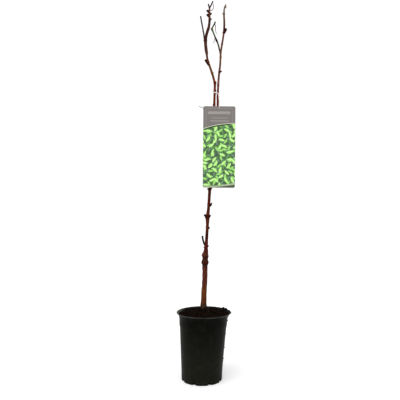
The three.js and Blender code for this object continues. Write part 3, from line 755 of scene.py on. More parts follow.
@dataclass(frozen=True)
class RecycledPolypropylene(Finish):
    """Black injection moulded polypropylene of a nursery pot: satin, scuffed, dusty and splashed.

    Its rim carries a painted highlight along its top. The highlight is patchy and brightest on its left,
    where it spreads over the rolled lip. Its inside wall is darkened as painted shade. Its wall grows lighter
    towards the bottom, its foot carries brown dust over a painted shade at its lowest edge, and its
    lower right side dark crumbs. Ramps read heights and sides in millimetres.
    """

    name: str = "recycled_polypropylene"
    base: str = "#040502"
    scuffed: str = "#1d1e17"
    # Painted highlight on the rim's top and the left of its rolled lip.
    lip_highlight: str = "#50514c"
    # Painted shade on the inside wall above the compost.
    inside: str = "#030302"
    dust: str = "#2b241b"
    crumb: str = "#0a0806"
    grain: float = 0.35
    scuff: float = 14.0
    splash: float = 6.0
    crumb_size: float = 3.2
    roughness: tuple[float, float] = (0.45, 0.85)
    gloss: float = 0.033
    relief: float = 0.05
    scuff_share: Ramp = (0.46, 0.74, 0, 0.32)
    # The wall grows lighter towards the bottom.
    lighter_below: Ramp = (158, 50, 0, 0.47)
    lip_height: Ramp = (181.7, 182.7, 0, 1)
    lip_highlight_patches: Ramp = (0.35, 0.6, 0.5, 1)
    lip_side: Ramp = (-66, -30, 1, 0.6)
    roll_side: Ramp = (-46, -58, 0, 1.2)
    dust_height: Ramp = (26, 0, -0.3, 0.16)
    dust_share: Ramp = (0.5, 0.72, 0, 0.6)
    crumb_reach: Ramp = (0.34, 0.2, 0, 1)
    crumb_side: Ramp = (18, 52, 0, 1)
    crumb_height: Ramp = (120, 70, 0, 1)
    # Painted shade along the foot's lowest edge.
    foot_shade_height: Ramp = (5, 2, 0, 1)

    def sockets(self, tree: bpy.types.NodeTree) -> dict[str, object]:
        """Scuffs on the black, lighter towards the bottom, the painted highlight on the lip, the painted
        shade inside, then dust, crumbs and the painted shade at the foot.
        """
        place = node(tree, "TexCoord").outputs["Object"]
        scaled = node(tree, "VectorMath", place, (1 / MM,) * 3, operation="MULTIPLY")
        axes = node(tree, "SeparateXYZ", scaled)
        side, height = axes.outputs["X"], axes.outputs["Z"]
        scuffs = node(tree, "TexNoise", place, 1 / MM / self.scuff, 6.0, 0.62, {"Distortion": 0.6})
        some = node(tree, "MapRange", scuffs, *self.scuff_share)
        # The wall grows lighter towards the bottom, in the scuffs' grey.
        lower = node(tree, "MapRange", height, *self.lighter_below)
        share = node(tree, "Math", some, lower, operation="ADD")
        scuffed = node(tree, "Mix", share, linear(self.base), linear(self.scuffed), data_type="RGBA")
        # Painted highlight along the rim's top and, on the left, over the rolled lip. It is patchy by the
        # scuff noise and brightest on the left.
        highlight_patches = node(tree, "MapRange", scuffs, *self.lip_highlight_patches)
        left = node(tree, "MapRange", side, *self.lip_side)
        highlight_share = node(tree, "Math", highlight_patches, left, operation="MULTIPLY")
        lip = node(tree, "Attribute", attribute_name="lip").outputs["Fac"]
        bare = node(tree, "MapRange", side, *self.roll_side)
        rolled = node(tree, "Math", lip, bare, operation="MULTIPLY")
        rim = node(tree, "MapRange", height, *self.lip_height)
        edge = node(tree, "Math", rim, rolled, operation="MAXIMUM")
        bright = node(tree, "Math", edge, highlight_share, operation="MULTIPLY")
        lipped = node(tree, "Mix", bright, scuffed, linear(self.lip_highlight), data_type="RGBA")
        # The inside wall takes a near black as painted shade.
        inner = node(tree, "Attribute", attribute_name="inner").outputs["Fac"]
        lined = node(tree, "Mix", inner, lipped, linear(self.inside), data_type="RGBA")
        splashes = node(tree, "TexNoise", place, 1 / MM / self.splash, 8.0, 0.7)
        low = node(tree, "MapRange", height, *self.dust_height)
        dust = node(tree, "MapRange", node(tree, "Math", splashes, low, operation="ADD"), *self.dust_share)
        earthy = node(tree, "Mix", dust, lined, linear(self.dust), data_type="RGBA")
        cells = node(tree, "TexVoronoi", place, 1 / MM / self.crumb_size)
        near = node(tree, "MapRange", cells, *self.crumb_reach)
        right = node(tree, "MapRange", side, *self.crumb_side)
        below = node(tree, "MapRange", height, *self.crumb_height)
        there = node(tree, "Math", right, below, operation="MULTIPLY")
        stuck = node(tree, "Math", near, there, operation="MULTIPLY")
        # Painted shade at the foot's lowest few millimetres, in the crumbs' colour.
        foot_shade = node(tree, "MapRange", height, *self.foot_shade_height)
        dark = node(tree, "Math", stuck, foot_shade, operation="MAXIMUM")
        fine = node(tree, "TexNoise", place, 1 / MM / self.grain, 2.0)
        coarse = node(tree, "Math", fine, dust, operation="ADD")
        return {
            "Base Color": node(tree, "Mix", dark, earthy, linear(self.crumb), data_type="RGBA"),
            "Specular IOR Level": self.gloss,
            "Roughness": node(tree, "MapRange", dust, 0.0, 1.0, *self.roughness),
            "Normal": node(tree, "Bump", {"Height": coarse, "Distance": self.relief * MM, "Strength": 0.6}),
        }


@dataclass(frozen=True)
class Earthy(Finish):
    """A dull natural crumb, such as peat, bark or straw: two tones mottled at its own size, no gloss."""

    dark: str
    light: str
    mottle: float
    relief: float = 0.3
    roughness: float = 0.95
    gloss: float = 0.02
    light_share: Ramp = (0.38, 0.68, 0, 1)

    def sockets(self, tree: bpy.types.NodeTree) -> dict[str, object]:
        """The two tones, mixed by a rough noise that also gives the relief."""
        place = node(tree, "TexCoord").outputs["Object"]
        mottle = node(tree, "TexNoise", place, 1 / MM / self.mottle, 6.0, 0.7)
        share = node(tree, "MapRange", mottle, *self.light_share)
        return {
            "Base Color": node(tree, "Mix", share, linear(self.dark), linear(self.light), data_type="RGBA"),
            "Roughness": self.roughness,
            "Specular IOR Level": self.gloss,
            "Normal": node(tree, "Bump", {"Height": mottle, "Distance": self.relief * MM, "Strength": 0.9}),
        }


@dataclass(frozen=True)
class PlainPlastic(Finish):
    """A thin plain plastic, smooth from its roller or die, with a faint unevenness in its gloss."""

    colour: str
    roughness: float = 0.35
    haze: float = 20.0
    shade: float = 0.06
    gloss_spread: tuple[float, float] = (-0.06, 0.12)

    def sockets(self, tree: bpy.types.NodeTree) -> dict[str, object]:
        """The colour and the roughness, both changed a little by a slow haze."""
        place = node(tree, "TexCoord").outputs["Object"]
        haze = node(tree, "TexNoise", place, 1 / MM / self.haze, 3.0)
        light = node(tree, "MapRange", haze, 0.0, 1.0, 1 - self.shade, 1 + self.shade)
        smooth, dull = (self.roughness + change for change in self.gloss_spread)
        return {
            "Base Color": node(tree, "VectorMath", linear(self.colour)[:3], light, operation="MULTIPLY"),
            "Roughness": node(tree, "MapRange", haze, 0.0, 1.0, smooth, dull),
        }


@dataclass(frozen=True)
class StudioAcrylic(Finish):
    """The white acrylic of the studio's floor, lit a little from below."""

    name: str = "studio_floor"
    colour: str = "#fafafa"
    roughness: float = 0.9
    glow: float = 0.21

    def sockets(self, tree: bpy.types.NodeTree) -> dict[str, object]:
        """One even colour that also glows."""
        white = linear(self.colour)
        glow = {"Emission Color": white, "Emission Strength": self.glow}
        return {"Base Color": white, "Roughness": self.roughness, **glow}


@dataclass(frozen=True)
class LeafPrint(Finish):
    """A picture printed on polypropylene card: plain leaves scattered in layers on a dark ground.

    Each layer deals one leaf to each cell of a random mesh and turns it at random. A leaf is where
    width * (1 - (x / length)^2) is more than |y|, in shares of the spacing, with its midrib at y = 0.
    A layer has its leaf and rib colours, the leaves' spacing and a shift that makes it its own.
    """

    name: str = "leaf_print"
    ground: str = "#385631"
    layers: tuple[tuple[str, str, float, float], ...] = (
        ("#5c7d63", "#8ba890", 13.0, 0.0),
        ("#45803a", "#7db75f", 15.0, 3.7),
        ("#82ca53", "#c5f29b", 16.5, 8.1),
        ("#a9ea70", "#e4ffca", 19.0, 12.9),
    )
    half_length: float = 0.47
    half_width: float = 0.2
    midrib: float = 0.016
    midrib_fade: float = 1.6
    edge: float = 0.012
    half_shade: float = 0.82
    scatter: float = 0.75
    roughness: float = 0.38

    def sockets(self, tree: bpy.types.NodeTree) -> dict[str, object]:
        """The ground with one layer of leaves after another laid over it."""
        place = node(tree, "TexCoord").outputs["Object"]
        shown = linear(self.ground)
        for layer in self.layers:
            shown = self.layer(tree, place, shown, *layer)
        return {"Base Color": shown, "Roughness": self.roughness}

    def layer(
        self, tree: bpy.types.NodeTree, place: bpy.types.NodeSocket, under: object,
        leaf: str, rib: str, spacing: float, shift: float,
    ) -> bpy.types.Node:
        """Adds one layer of leaves over what is printed so far.

        Args:
            tree: The material's node tree.
            place: Object coordinates.
            under: The node that gives the colour below, or the ground's own colour.
            leaf: The leaves' colour.
            rib: Their ribs' colour.
            spacing: The spacing of the leaves.
            shift: What makes the layer its own.

        Returns:
            The node that gives the colour with the layer on it.
        """
        turned, scale = (-np.pi / 2, 0.0, shift / 3), (1 / MM / spacing,) * 3
        flat = node(tree, "Mapping", place, (shift, shift, 0.0), turned, scale)
        spread = {"Scale": 1.0, "Randomness": self.scatter}
        cells = node(tree, "TexVoronoi", flat, spread, voronoi_dimensions="2D")
        local = node(tree, "VectorMath", flat, cells.outputs["Position"], operation="SUBTRACT")
        chance = node(tree, "SeparateColor", cells.outputs["Color"])
        angle = node(tree, "Math", chance, 2 * np.pi, operation="MULTIPLY")
        rotated = node(tree, "VectorRotate", local, {"Angle": angle}, rotation_type="Z_AXIS")
        axes = node(tree, "SeparateXYZ", rotated)
        along = node(tree, "Math", axes.outputs["X"], self.half_length, operation="DIVIDE")
        square = node(tree, "Math", along, along, operation="MULTIPLY")
        width = node(tree, "Math", square, -self.half_width, self.half_width, operation="MULTIPLY_ADD")
        off = node(tree, "Math", axes.outputs["Y"], operation="ABSOLUTE")
        mask = node(tree, "MapRange", node(tree, "Math", width, off, operation="SUBTRACT"), 0.0, self.edge)
        half = node(tree, "Math", axes.outputs["Y"], 0.0, operation="GREATER_THAN")
        shade = node(tree, "MapRange", half, 0.0, 1.0, self.half_shade, 1.0)
        lit = node(tree, "VectorMath", linear(leaf)[:3], shade, operation="MULTIPLY")
        vein = node(tree, "MapRange", off, self.midrib * self.midrib_fade, self.midrib)
        veined = node(tree, "Mix", vein, lit, linear(rib), data_type="RGBA")
        return node(tree, "Mix", mask, under, veined, data_type="RGBA")


# The pot and its compost


@dataclass
class NurseryPot:
    """The tall soft pot: its wall from the underside's middle over the rim to the floor's middle."""

    height: float = 184.0
    lean: float = 5.3
    lean_power: float = 1.3
    rim_radius: float = 74.5
    wall: float = 1.3
    floor: float = 2.4
    foot_radius: float = 55.2
    step_height: float = 24.0
    shoulder: tuple[float, float] = (64.1, 141.0)
    collar: tuple[float, float] = (65.8, 151.0)
    flare: tuple[float, float] = (66.4, 168.0)
    throat: tuple[float, float] = (67.6, 174.0)
    recesses: int = 8
    recess_depth: float = 1.6
    recess_height: float = 18.0
    recess_half: float = 0.112
    drain: tuple[float, float, float] = (9.0, 8.0, 7.2)
    dent_angle: float = -0.1
    dent_width: float = 0.2
    dent_reach: float = 1.6
    sag: float = 0.5
    columns: int = 192

    def lean_at(self, height: Array) -> Array:
        """How far the soft wall leans to the right at a height: lean * (height / the pot's)^power."""
        return self.lean * np.clip(height / self.height, 0.0, 1.0) ** self.lean_power

    def outline(self) -> Array:
        """The wall's outline: radius and height, from the underside's middle to the floor's middle.

        Each corner has the spacing of the rows that lead to it, and each row is then averaged with
        its neighbours twice, which rounds the corners.
        """
        foot, rim, top, wall = self.foot_radius, self.rim_radius, self.height, self.wall
        corners = np.array([
            (2.0, 0.0, 4.0), (foot - 1.4, 0.0, 4.0), (foot - 0.35, 0.84, 0.5), (foot, 2.8, 0.7),
            (foot + 0.8, self.recess_height, 1.0), (foot + 1.1, self.step_height, 1.0),
            (*self.shoulder, 1.5), (*self.collar, 0.8), (*self.flare, 1.2), (*self.throat, 0.8),
            (rim - 4.6, top - 5.0, 0.6), (rim - 0.4, top - 2.3, 0.5), (rim, top - 0.85, 0.4),
            (rim - 0.6, top, 0.3), (rim - 2.6, top - 0.7, 0.5), (rim - 6.6, top - 4.5, 0.8),
            (self.throat[0] - 0.5 - wall, self.throat[1], 1.0), (self.flare[0] - wall, self.flare[1], 3.0),
            (self.collar[0] - wall, self.collar[1] + 0.5, 4.0),
            (self.shoulder[0] - wall, self.shoulder[1] + 0.5, 3.0),
            (foot + 1.1 - wall, self.step_height, 7.0), (foot + 0.8 - wall, self.recess_height, 1.5),
            (foot - wall - 1.0, self.floor, 1.5), (2.0, self.floor, 5.0),
        ])
        rows = [corners[:1, :2]]
        for start, end, spacing in zip(corners[:, :2], corners[1:, :2], corners[1:, 2]):
            count = max(1, round(np.hypot(*(end - start)) / spacing))
            share = np.linspace(0.0, 1.0, count + 1)[1:, None]
            rows.append(start * (1 - share) + end * share)
        outline = np.vstack(rows)
        for _ in range(2):
            outline[1:-1] = outline[1:-1] / 2 + (outline[:-2] + outline[2:]) / 4
        return outline

    def surface(self) -> Surface:
        """The wall turned round the pot's axis.

        At (radius, height) and an angle, the radius loses the drain recess, an arch whose top
        falls off as the square root of 1 - (angle / half)^4, loses the soft wall's sag, a sum of
        two slow waves, and gains the dent at the rim. The lean then carries it to the right.
        """
        outline = self.outline()
        radius, height = outline[:, :1], outline[:, 1:]
        angle = whole_turn(self.columns)
        spacing = 2 * np.pi / self.recesses
        first = -np.pi / 2 + spacing / 2
        off = np.abs(turn(0.0, (angle - first) * self.recesses)) / self.recesses
        arch = self.recess_height * np.sqrt(np.clip(1.0 - (off / self.recess_half) ** 4, 0.0, 1.0))
        within = ease((self.recess_half - off) / 0.02) * ease((arch - height) / 1.5 + 0.5)
        foot = ease((radius - 40.0) / 10.0)
        slow = (1 + np.cos(2 * angle + 0.7)) / 2 + (1 + np.cos(3 * angle - 1.1)) / 4
        sag = self.sag * slow * ease(height / 60.0) * ease((self.height - 8.0 - height) / 30.0)
        dent = self.dent_reach * hump(turn(self.dent_angle, angle), self.dent_width)
        rimmed = ease((height - self.flare[1] - 4.0) / 3.0)
        moved = radius - self.recess_depth * within * foot - sag * foot + dent * rimmed
        rings = polar(moved, angle, height, self.lean_at(height))
        past_rim = (np.arange(len(outline)) - np.argmax(outline[:, 1]))[:, None]
        # inner marks the inside wall, which the pot's material darkens as painted shade. lip marks the rim
        # and rolled lip, which it lightens as a painted highlight.
        inner = ease((past_rim - 12.0) / 2.0)
        lip = ease((past_rim + 3.0) / 2.0) * ease((12.0 - past_rim) / 2.0)
        return Surface.skin(rings, {"inner": inner, "lip": lip})

    def drains(self) -> list[Surface]:
        """Cutters for the drain slots: blocks with every edge rounded, one at the foot of each recess."""
        length, width, height = self.drain
        rise = np.linspace(-np.pi / 2, np.pi / 2, 14)[1:-1, None]
        ball = squared(polar(np.cos(rise), whole_turn(24), np.sin(rise)), 0.35)
        block = ball * [length / 2, width / 2, height / 2] + [self.foot_radius - length / 3, 0.0, 3.0]
        angles = 2 * np.pi / self.recesses * (np.arange(self.recesses) + 0.5) - np.pi / 2
        return [Surface.skin(spun(block, angle)) for angle in angles]

    def build(self) -> None:
        """Makes the pot's shell."""
        shell = united("pot_shell", [self.surface()], self.drains())
        piece("pot_shell", shell, RecycledPolypropylene().build(), ["pot"])


@dataclass(frozen=True)
class Crumbs:
    """One kind of crumb in the compost.

    Attributes:
        name: The piece's name.
        finish: What it is made of.
        count: How many lie on the surface.
        size: Smallest and largest half length.
        shape: Width and thickness over length.
        sink: How far it lies in the compost, as a share of its thickness.
        seed: Picks sizes and places.
    """

    name: str
    finish: Earthy
    count: int
    size: tuple[float, float]
    shape: tuple[float, float]
    sink: float
    seed: int


PEAT = Earthy("peat_compost", "#070503", "#1a120e", 2.2, relief=0.8)
HUMUS = Earthy("humus", "#050302", "#1e1611", 1.2)
COMPOSTED_BARK = Earthy("composted_bark", "#150b07", "#382017", 1.6)
COIR = Earthy("coir_fibre", "#1e140c", "#523d29", 2.0)
GRIT = Earthy("pale_grit", "#2c2823", "#57514a", 0.8)


@dataclass
class Compost:
    """Potting compost: one uneven surface mounded to the stem, and the crumbs, bark and grit on it."""

    ground: float = 187.0
    edge: float = 177.5
    edge_radius: float = 67.0
    lean: float = 5.1
    foot: tuple[float, float] = (5.2, 18.0)
    foot_ring: float = 15.0
    bare: float = 9.0
    margin: float = 1.5
    floor: float = 2.4
    columns: int = 220
    rows: int = 74
    mix: tuple[Crumbs, ...] = (
        Crumbs("humus_crumbs", HUMUS, 1500, (0.8, 2.6), (0.85, 0.7), 0.2, 21),
        Crumbs("bark_chips", COMPOSTED_BARK, 240, (1.6, 4.4), (0.5, 0.24), 0.1, 22),
        Crumbs("straw_fibres", COIR, 120, (2.0, 5.0), (0.09, 0.08), -0.6, 23),
        Crumbs("pale_grit", GRIT, 70, (0.5, 1.1), (0.8, 0.7), 0.1, 24),
    )

    def height_at(self, x: Array, y: Array) -> Array:
        """The surface's height: the mound, falling from the stem to the wall, with lumps of three sizes.

        Along the way s from the level patch round the stem to the wall the mound falls by
        0.55 * ease(s / 0.6) + 0.45 * s.
        """
        from_ring = np.hypot(x - self.foot[0], y - self.foot[1]) - self.foot_ring
        to_wall = np.maximum(self.edge_radius - np.hypot(x - self.lean, y), 0.0)
        share = np.clip(from_ring / np.maximum(from_ring + to_wall, 1.0), 0.0, 1.0)
        fall = ease(share / 0.6) * 0.55 + share * 0.45
        places = np.stack([x, y, np.zeros_like(x)], axis=-1)
        lumps = 1.1 * noise(places, 9.0, 3) + 0.7 * noise(places, 3.4, 4) + 0.35 * noise(places, 1.5, 5)
        calm = ease(to_wall / 5.0) * 0.75 + 0.25
        return self.ground + (self.edge - self.ground) * fall + (lumps + 0.5) * calm

    def surface(self) -> Surface:
        """The plug of compost: its underside and sides lie in the pot, its top is the uneven surface."""
        angle = whole_turn(self.columns)
        radius, height = np.array([
            (2.0, self.floor), (50.9, self.floor), (50.9, 20.0), (54.7, 24.0), (62.4, 142.5), (64.2, 150.5),
            (64.8, 168.0), (65.5, 174.0),
        ]).T[..., None]
        below = polar(radius, angle, height, NurseryPot().lean_at(height))
        share = np.linspace(1.0, 0.02, self.rows)[:, None]
        x = self.foot[0] * (1 - share) + share * (self.lean + self.edge_radius * np.cos(angle))
        y = self.foot[1] * (1 - share) + share * self.edge_radius * np.sin(angle)
        top = np.stack([x, y, self.height_at(x, y)], axis=-1)
        return Surface.skin(np.concatenate([below, top]))

    def scatter(self, kind: Crumbs) -> Surface:
        """Lays one kind of crumb on the surface.

        A crumb is a sphere of 4 by 6 corners and two poles, pressed to its shape, dented by random
        shifts of its corners, turned at random about the vertical and tilted a little.
        """
        chance = np.random.default_rng(kind.seed)
        radius = (self.edge_radius - self.margin) * np.sqrt(chance.uniform(0.0, 1.0, kind.count))
        angle = chance.uniform(0.0, 2 * np.pi, kind.count)
        x, y = self.lean + radius * np.cos(angle), radius * np.sin(angle)
        free = np.hypot(x - self.foot[0], y - self.foot[1]) > self.bare
        x, y = x[free], y[free]
        size = kind.size[0] + (kind.size[1] - kind.size[0]) * chance.uniform(0.0, 1.0, len(x)) ** 2.2
        return crumbs_at(np.stack([x, y, self.height_at(x, y)], axis=-1), size, kind, chance)

    def foot_crumbs(self) -> Surface:
        """Humus heaped against the root flare."""
        chance = np.random.default_rng(33)
        count, flare, band, heap = 150, 8.6, 5.0, 1.6
        angle = chance.uniform(0.0, 2 * np.pi, count)
        share = chance.uniform(0.0, 1.0, count) ** 1.5
        radius = flare + band * share
        x, y = self.foot[0] + radius * np.cos(angle), self.foot[1] + radius * np.sin(angle)
        size = chance.uniform(0.7, 1.9, count)
        height = self.height_at(x, y) + heap * (1.0 - share)
        return crumbs_at(np.stack([x, y, height], axis=-1), size, self.mix[0], chance)

    def rim_crumbs(self) -> Surface:
        """A few lumps left lying on the rim's back, most of them on its right."""
        pot = NurseryPot()
        angle = np.radians([38.0, 40.5, 30.5, 27.0, 10.0, 7.0, 62.0, 118.0, 150.0])
        size = np.array([4.2, 2.4, 3.6, 3.6, 2.8, 1.8, 1.2, 1.1, 1.3])
        places = polar(pot.rim_radius - 2.9, angle, pot.height - 0.4, pot.lean)
        return crumbs_at(places, size, self.mix[0], np.random.default_rng(31))

    def wall_crumbs(self) -> Surface:
        """A few specks stuck to the right of the pot's wall, whose radius grows evenly with height."""
        pot = NurseryPot()
        height = np.array([126.0, 99.0, 87.0, 74.0, 57.0, 52.0, 40.0, 91.0, 66.0, 160.0])
        angle = np.radians([-6.0, -14.0, -1.0, -20.0, -2.0, -9.0, -16.0, -34.0, -30.0, -1.0])
        size = np.array([1.4, 1.2, 2.0, 1.5, 2.1, 1.4, 1.2, 1.0, 1.1, 2.6])
        wall = np.array([(pot.foot_radius + 1.1, pot.step_height), pot.shoulder, pot.collar, pot.flare])
        radius = np.interp(height, wall[:, 1], wall[:, 0]) - 0.2
        places = polar(radius, angle, height - 0.3 * size, pot.lean_at(height))
        return crumbs_at(places, size, self.mix[0], np.random.default_rng(35))

    def build(self) -> None:
        """Makes the compost and what lies on it."""
        piece("compost", self.surface().mesh("compost"), PEAT.build(), ["potting_soil"])
        finishes = [kind.finish.build() for kind in self.mix]
        for kind, finish in zip(self.mix, finishes):
            piece(kind.name, self.scatter(kind).mesh(kind.name), finish)
        for stray in (self.rim_crumbs, self.foot_crumbs, self.wall_crumbs):
            piece(stray.__name__, stray().mesh(stray.__name__), finishes[0])


def crumbs_at(places: Array, size: Array, kind: Crumbs, chance: np.random.Generator) -> Surface:
    """Crumbs of one kind at some places, as one surface.

    Args:
        places: Where each lies on the compost.
        size: Half the length of each.
        kind: Its shape.
        chance: The source of its dents and turns.

    Returns:
        All of them, side by side.
    """
    count = len(places)
    rise = np.radians([-50.0, -17.0, 17.0, 50.0])[:, None]
    base = Surface.skin(polar(np.cos(rise), whole_turn(6), np.sin(rise)))
    base.points[-2:] = [[0.0, 0.0, -0.95], [0.0, 0.0, 0.95]]
    corners = base.points[None] * (1.0 + chance.uniform(-0.24, 0.24, (count, len(base.points), 1)))
    corners = corners * np.array([1.0, *kind.shape]) * size[:, None, None]
    tilt, spin = chance.uniform(-0.45, 0.45, count), chance.uniform(0.0, 2 * np.pi, count)
    tilted = spun(corners[..., [0, 2, 1]], tilt[:, None])[..., [0, 2, 1]]
    lift = (size * kind.shape[1] * (1.0 - 2.0 * kind.sink) * 0.6)[:, None] * np.array([0.0, 0.0, 1.0])
    turned = spun(tilted, spin[:, None]) + (places + lift)[:, None]
    starts = (np.arange(count) * len(base.points))[:, None, None]
    return Surface(
        turned.reshape(-1, 3), (base.quads[None] + starts).reshape(-1, 4),
        (base.triangles[None] + starts).reshape(-1, 3), {},
    )


# The vine


@dataclass(frozen=True)
class Node:
    """A node of a stem and the bud on it.

    Attributes:
        height: The node's height.
        side: The bud's side, in degrees from +X.
        length: The bud's length.
        rise: How steeply it rises.
        width: Its largest reach over its length.
        tones: Its colours from foot to point.
        stand: How far from the stem's middle it leaves, over the stem's radius.
    """

    height: float
    side: float
    length: float = 4.4
    rise: float = 1.1
    width: float = 0.42
    tones: Tones = BUD_TONES
    stand: float = 0.72


@dataclass(frozen=True)
class Cane:
    """A year-old cane that leaves the trunk.

    Attributes:
        course: Points of its middle line, from inside the trunk to its tip.
        girth: Its radius by height.
        twigs_from: Height from which it belongs to a mass of twigs.
        tones: Bark colours by height.
        nodes: Its nodes up to there.
        tip_nodes: Nodes with a bud above that.
        tip_swells: Heights above that at which it is swollen.
        spur: Course of its cut spur, with the spur's radius at foot and tip.
    """

    course: Course
    girth: Table
    twigs_from: float
    tones: Tones
    nodes: tuple[Node, ...]
    tip_nodes: tuple[Node, ...]
    tip_swells: tuple[float, ...]
    spur: tuple[Course, float, float]


@dataclass(frozen=True)
class ShootRule:
    """The rule by which nodes or side shoots climb a stem, turn round it and vary by a seed."""

    first: float
    last: float
    count: int
    first_side: float
    turn_by: float
    scatter: float
    length: float
    seed: int

    def places(self) -> list[tuple[float, float]]:
        """Heights and sides: even steps, each moved a little by the seeded stream."""
        draw = seeded(self.seed)
        spacing = (self.last - self.first) / (self.count - 1)
        return [
            (self.first + index * spacing + (draw() - 0.5) * spacing * 0.14,
             self.first_side + index * self.turn_by + (draw() - 0.5) * self.scatter)
            for index in range(self.count)
        ]


LEFT_CANE = Cane(
    course=(
        (36.0, 0, 805), (34.6, 0, 814), (30.6, 0, 830), (25.4, 0, 846), (19.0, -1, 864), (14.6, -2, 880),
        (14.0, -2, 895), (12.2, -1, 912), (11.0, 0, 929), (12.2, 0, 940), (15.6, 0, 952), (19.4, 0.5, 965),
        (21.4, 1, 984), (20.9, 1, 998), (20.9, 1, 1010), (22.0, 1, 1017), (26.0, 1, 1025), (29.8, 1, 1032.8),
    ),
    girth=(
        (805, 3.1), (845, 3.1), (880, 2.85), (912, 2.9), (929, 3.8), (948, 4.0), (965, 3.6), (980, 3.4),
        (990, 3.2), (1000, 2.8), (1009, 2.4), (1020, 2.0), (1032.8, 1.75),
    ),
    twigs_from=981.0,
    tones=(
        (800, Wood.COPPER), (817, Wood.AMBER), (831, Wood.TAN), (859, Wood.TAN), (872, Wood.COCOA),
        (913, Wood.PLUM), (922, Wood.MAROON), (927, Wood.NIGHT), (935, Wood.MAROON), (954, Wood.MAROON),
        (968, Wood.PLUM), (984, Wood.WALNUT), (994, Wood.RUSSET), (1010, Wood.RUSSET), (1018, Wood.CHARCOAL),
        (1026, Wood.CHARCOAL), (1031, Wood.SOOT),
    ),
    nodes=(
        Node(838, 35), Node(868, 95), Node(893, 190, 4.8), Node(926.5, 180, 5.0, 0.3), Node(958, 250),
    ),
    tip_nodes=(Node(985, 0, 5.0, 0.5, 0.5, DARK_BUD),),
    tip_swells=(1000,),
    spur=(((18.6, -1, 860.5), (14.8, -1.2, 866), (9.8, -1.6, 873.6)), 3.4, 2.9),
)
RIGHT_CANE = Cane(
    course=(
        (30.6, 0, 664), (34, 1.4, 678), (38.8, 3, 694), (41.8, 3.8, 714), (43.6, 4.2, 740), (44.2, 4.2, 778),
        (45.6, 4.2, 812), (47.8, 4, 838), (50.4, 4, 860), (52.4, 4, 895), (55.8, 4, 918), (59.6, 4, 942),
        (61.6, 4, 962), (61.9, 4, 980), (61.2, 4, 997), (61.8, 4, 1013), (63.8, 4, 1021), (66.0, 4, 1028),
    ),
    girth=(
        (664, 3.4), (740, 3.15), (812, 2.9), (860, 2.65), (895, 2.5), (942, 2.6), (968, 2.8), (1004, 2.6),
        (1017, 2.1), (1028, 1.7),
    ),
    twigs_from=980.0,
    tones=(
        (664, Wood.COPPER), (790, Wood.COPPER), (812, Wood.TERRACOTTA), (842, Wood.UMBER), (880, Wood.TAN),
        (920, Wood.TERRACOTTA), (949, Wood.TERRACOTTA), (956, Wood.NIGHT), (963, Wood.CHESTNUT),
        (975, Wood.PLUM), (990, Wood.BISCUIT), (999, Wood.BISCUIT), (1007, Wood.DRIFTWOOD),
        (1014, Wood.DRIFTWOOD), (1018, Wood.MOSS), (1021, Wood.MOSS), (1025, Wood.STRAW), (1028, Wood.STRAW),
    ),
    nodes=(
        Node(735, 60), Node(772, -30), Node(806, 120), Node(842, 2, 7.0, 0.5), Node(884, 100),
        Node(918, 265), Node(950, 140),
    ),
    tip_nodes=(),
    tip_swells=(1002, 1020),
    spur=(((60.6, 4, 948.5), (64.4, 3.8, 953.5), (67.2, 3.6, 960.5)), 3.3, 2.9),
)


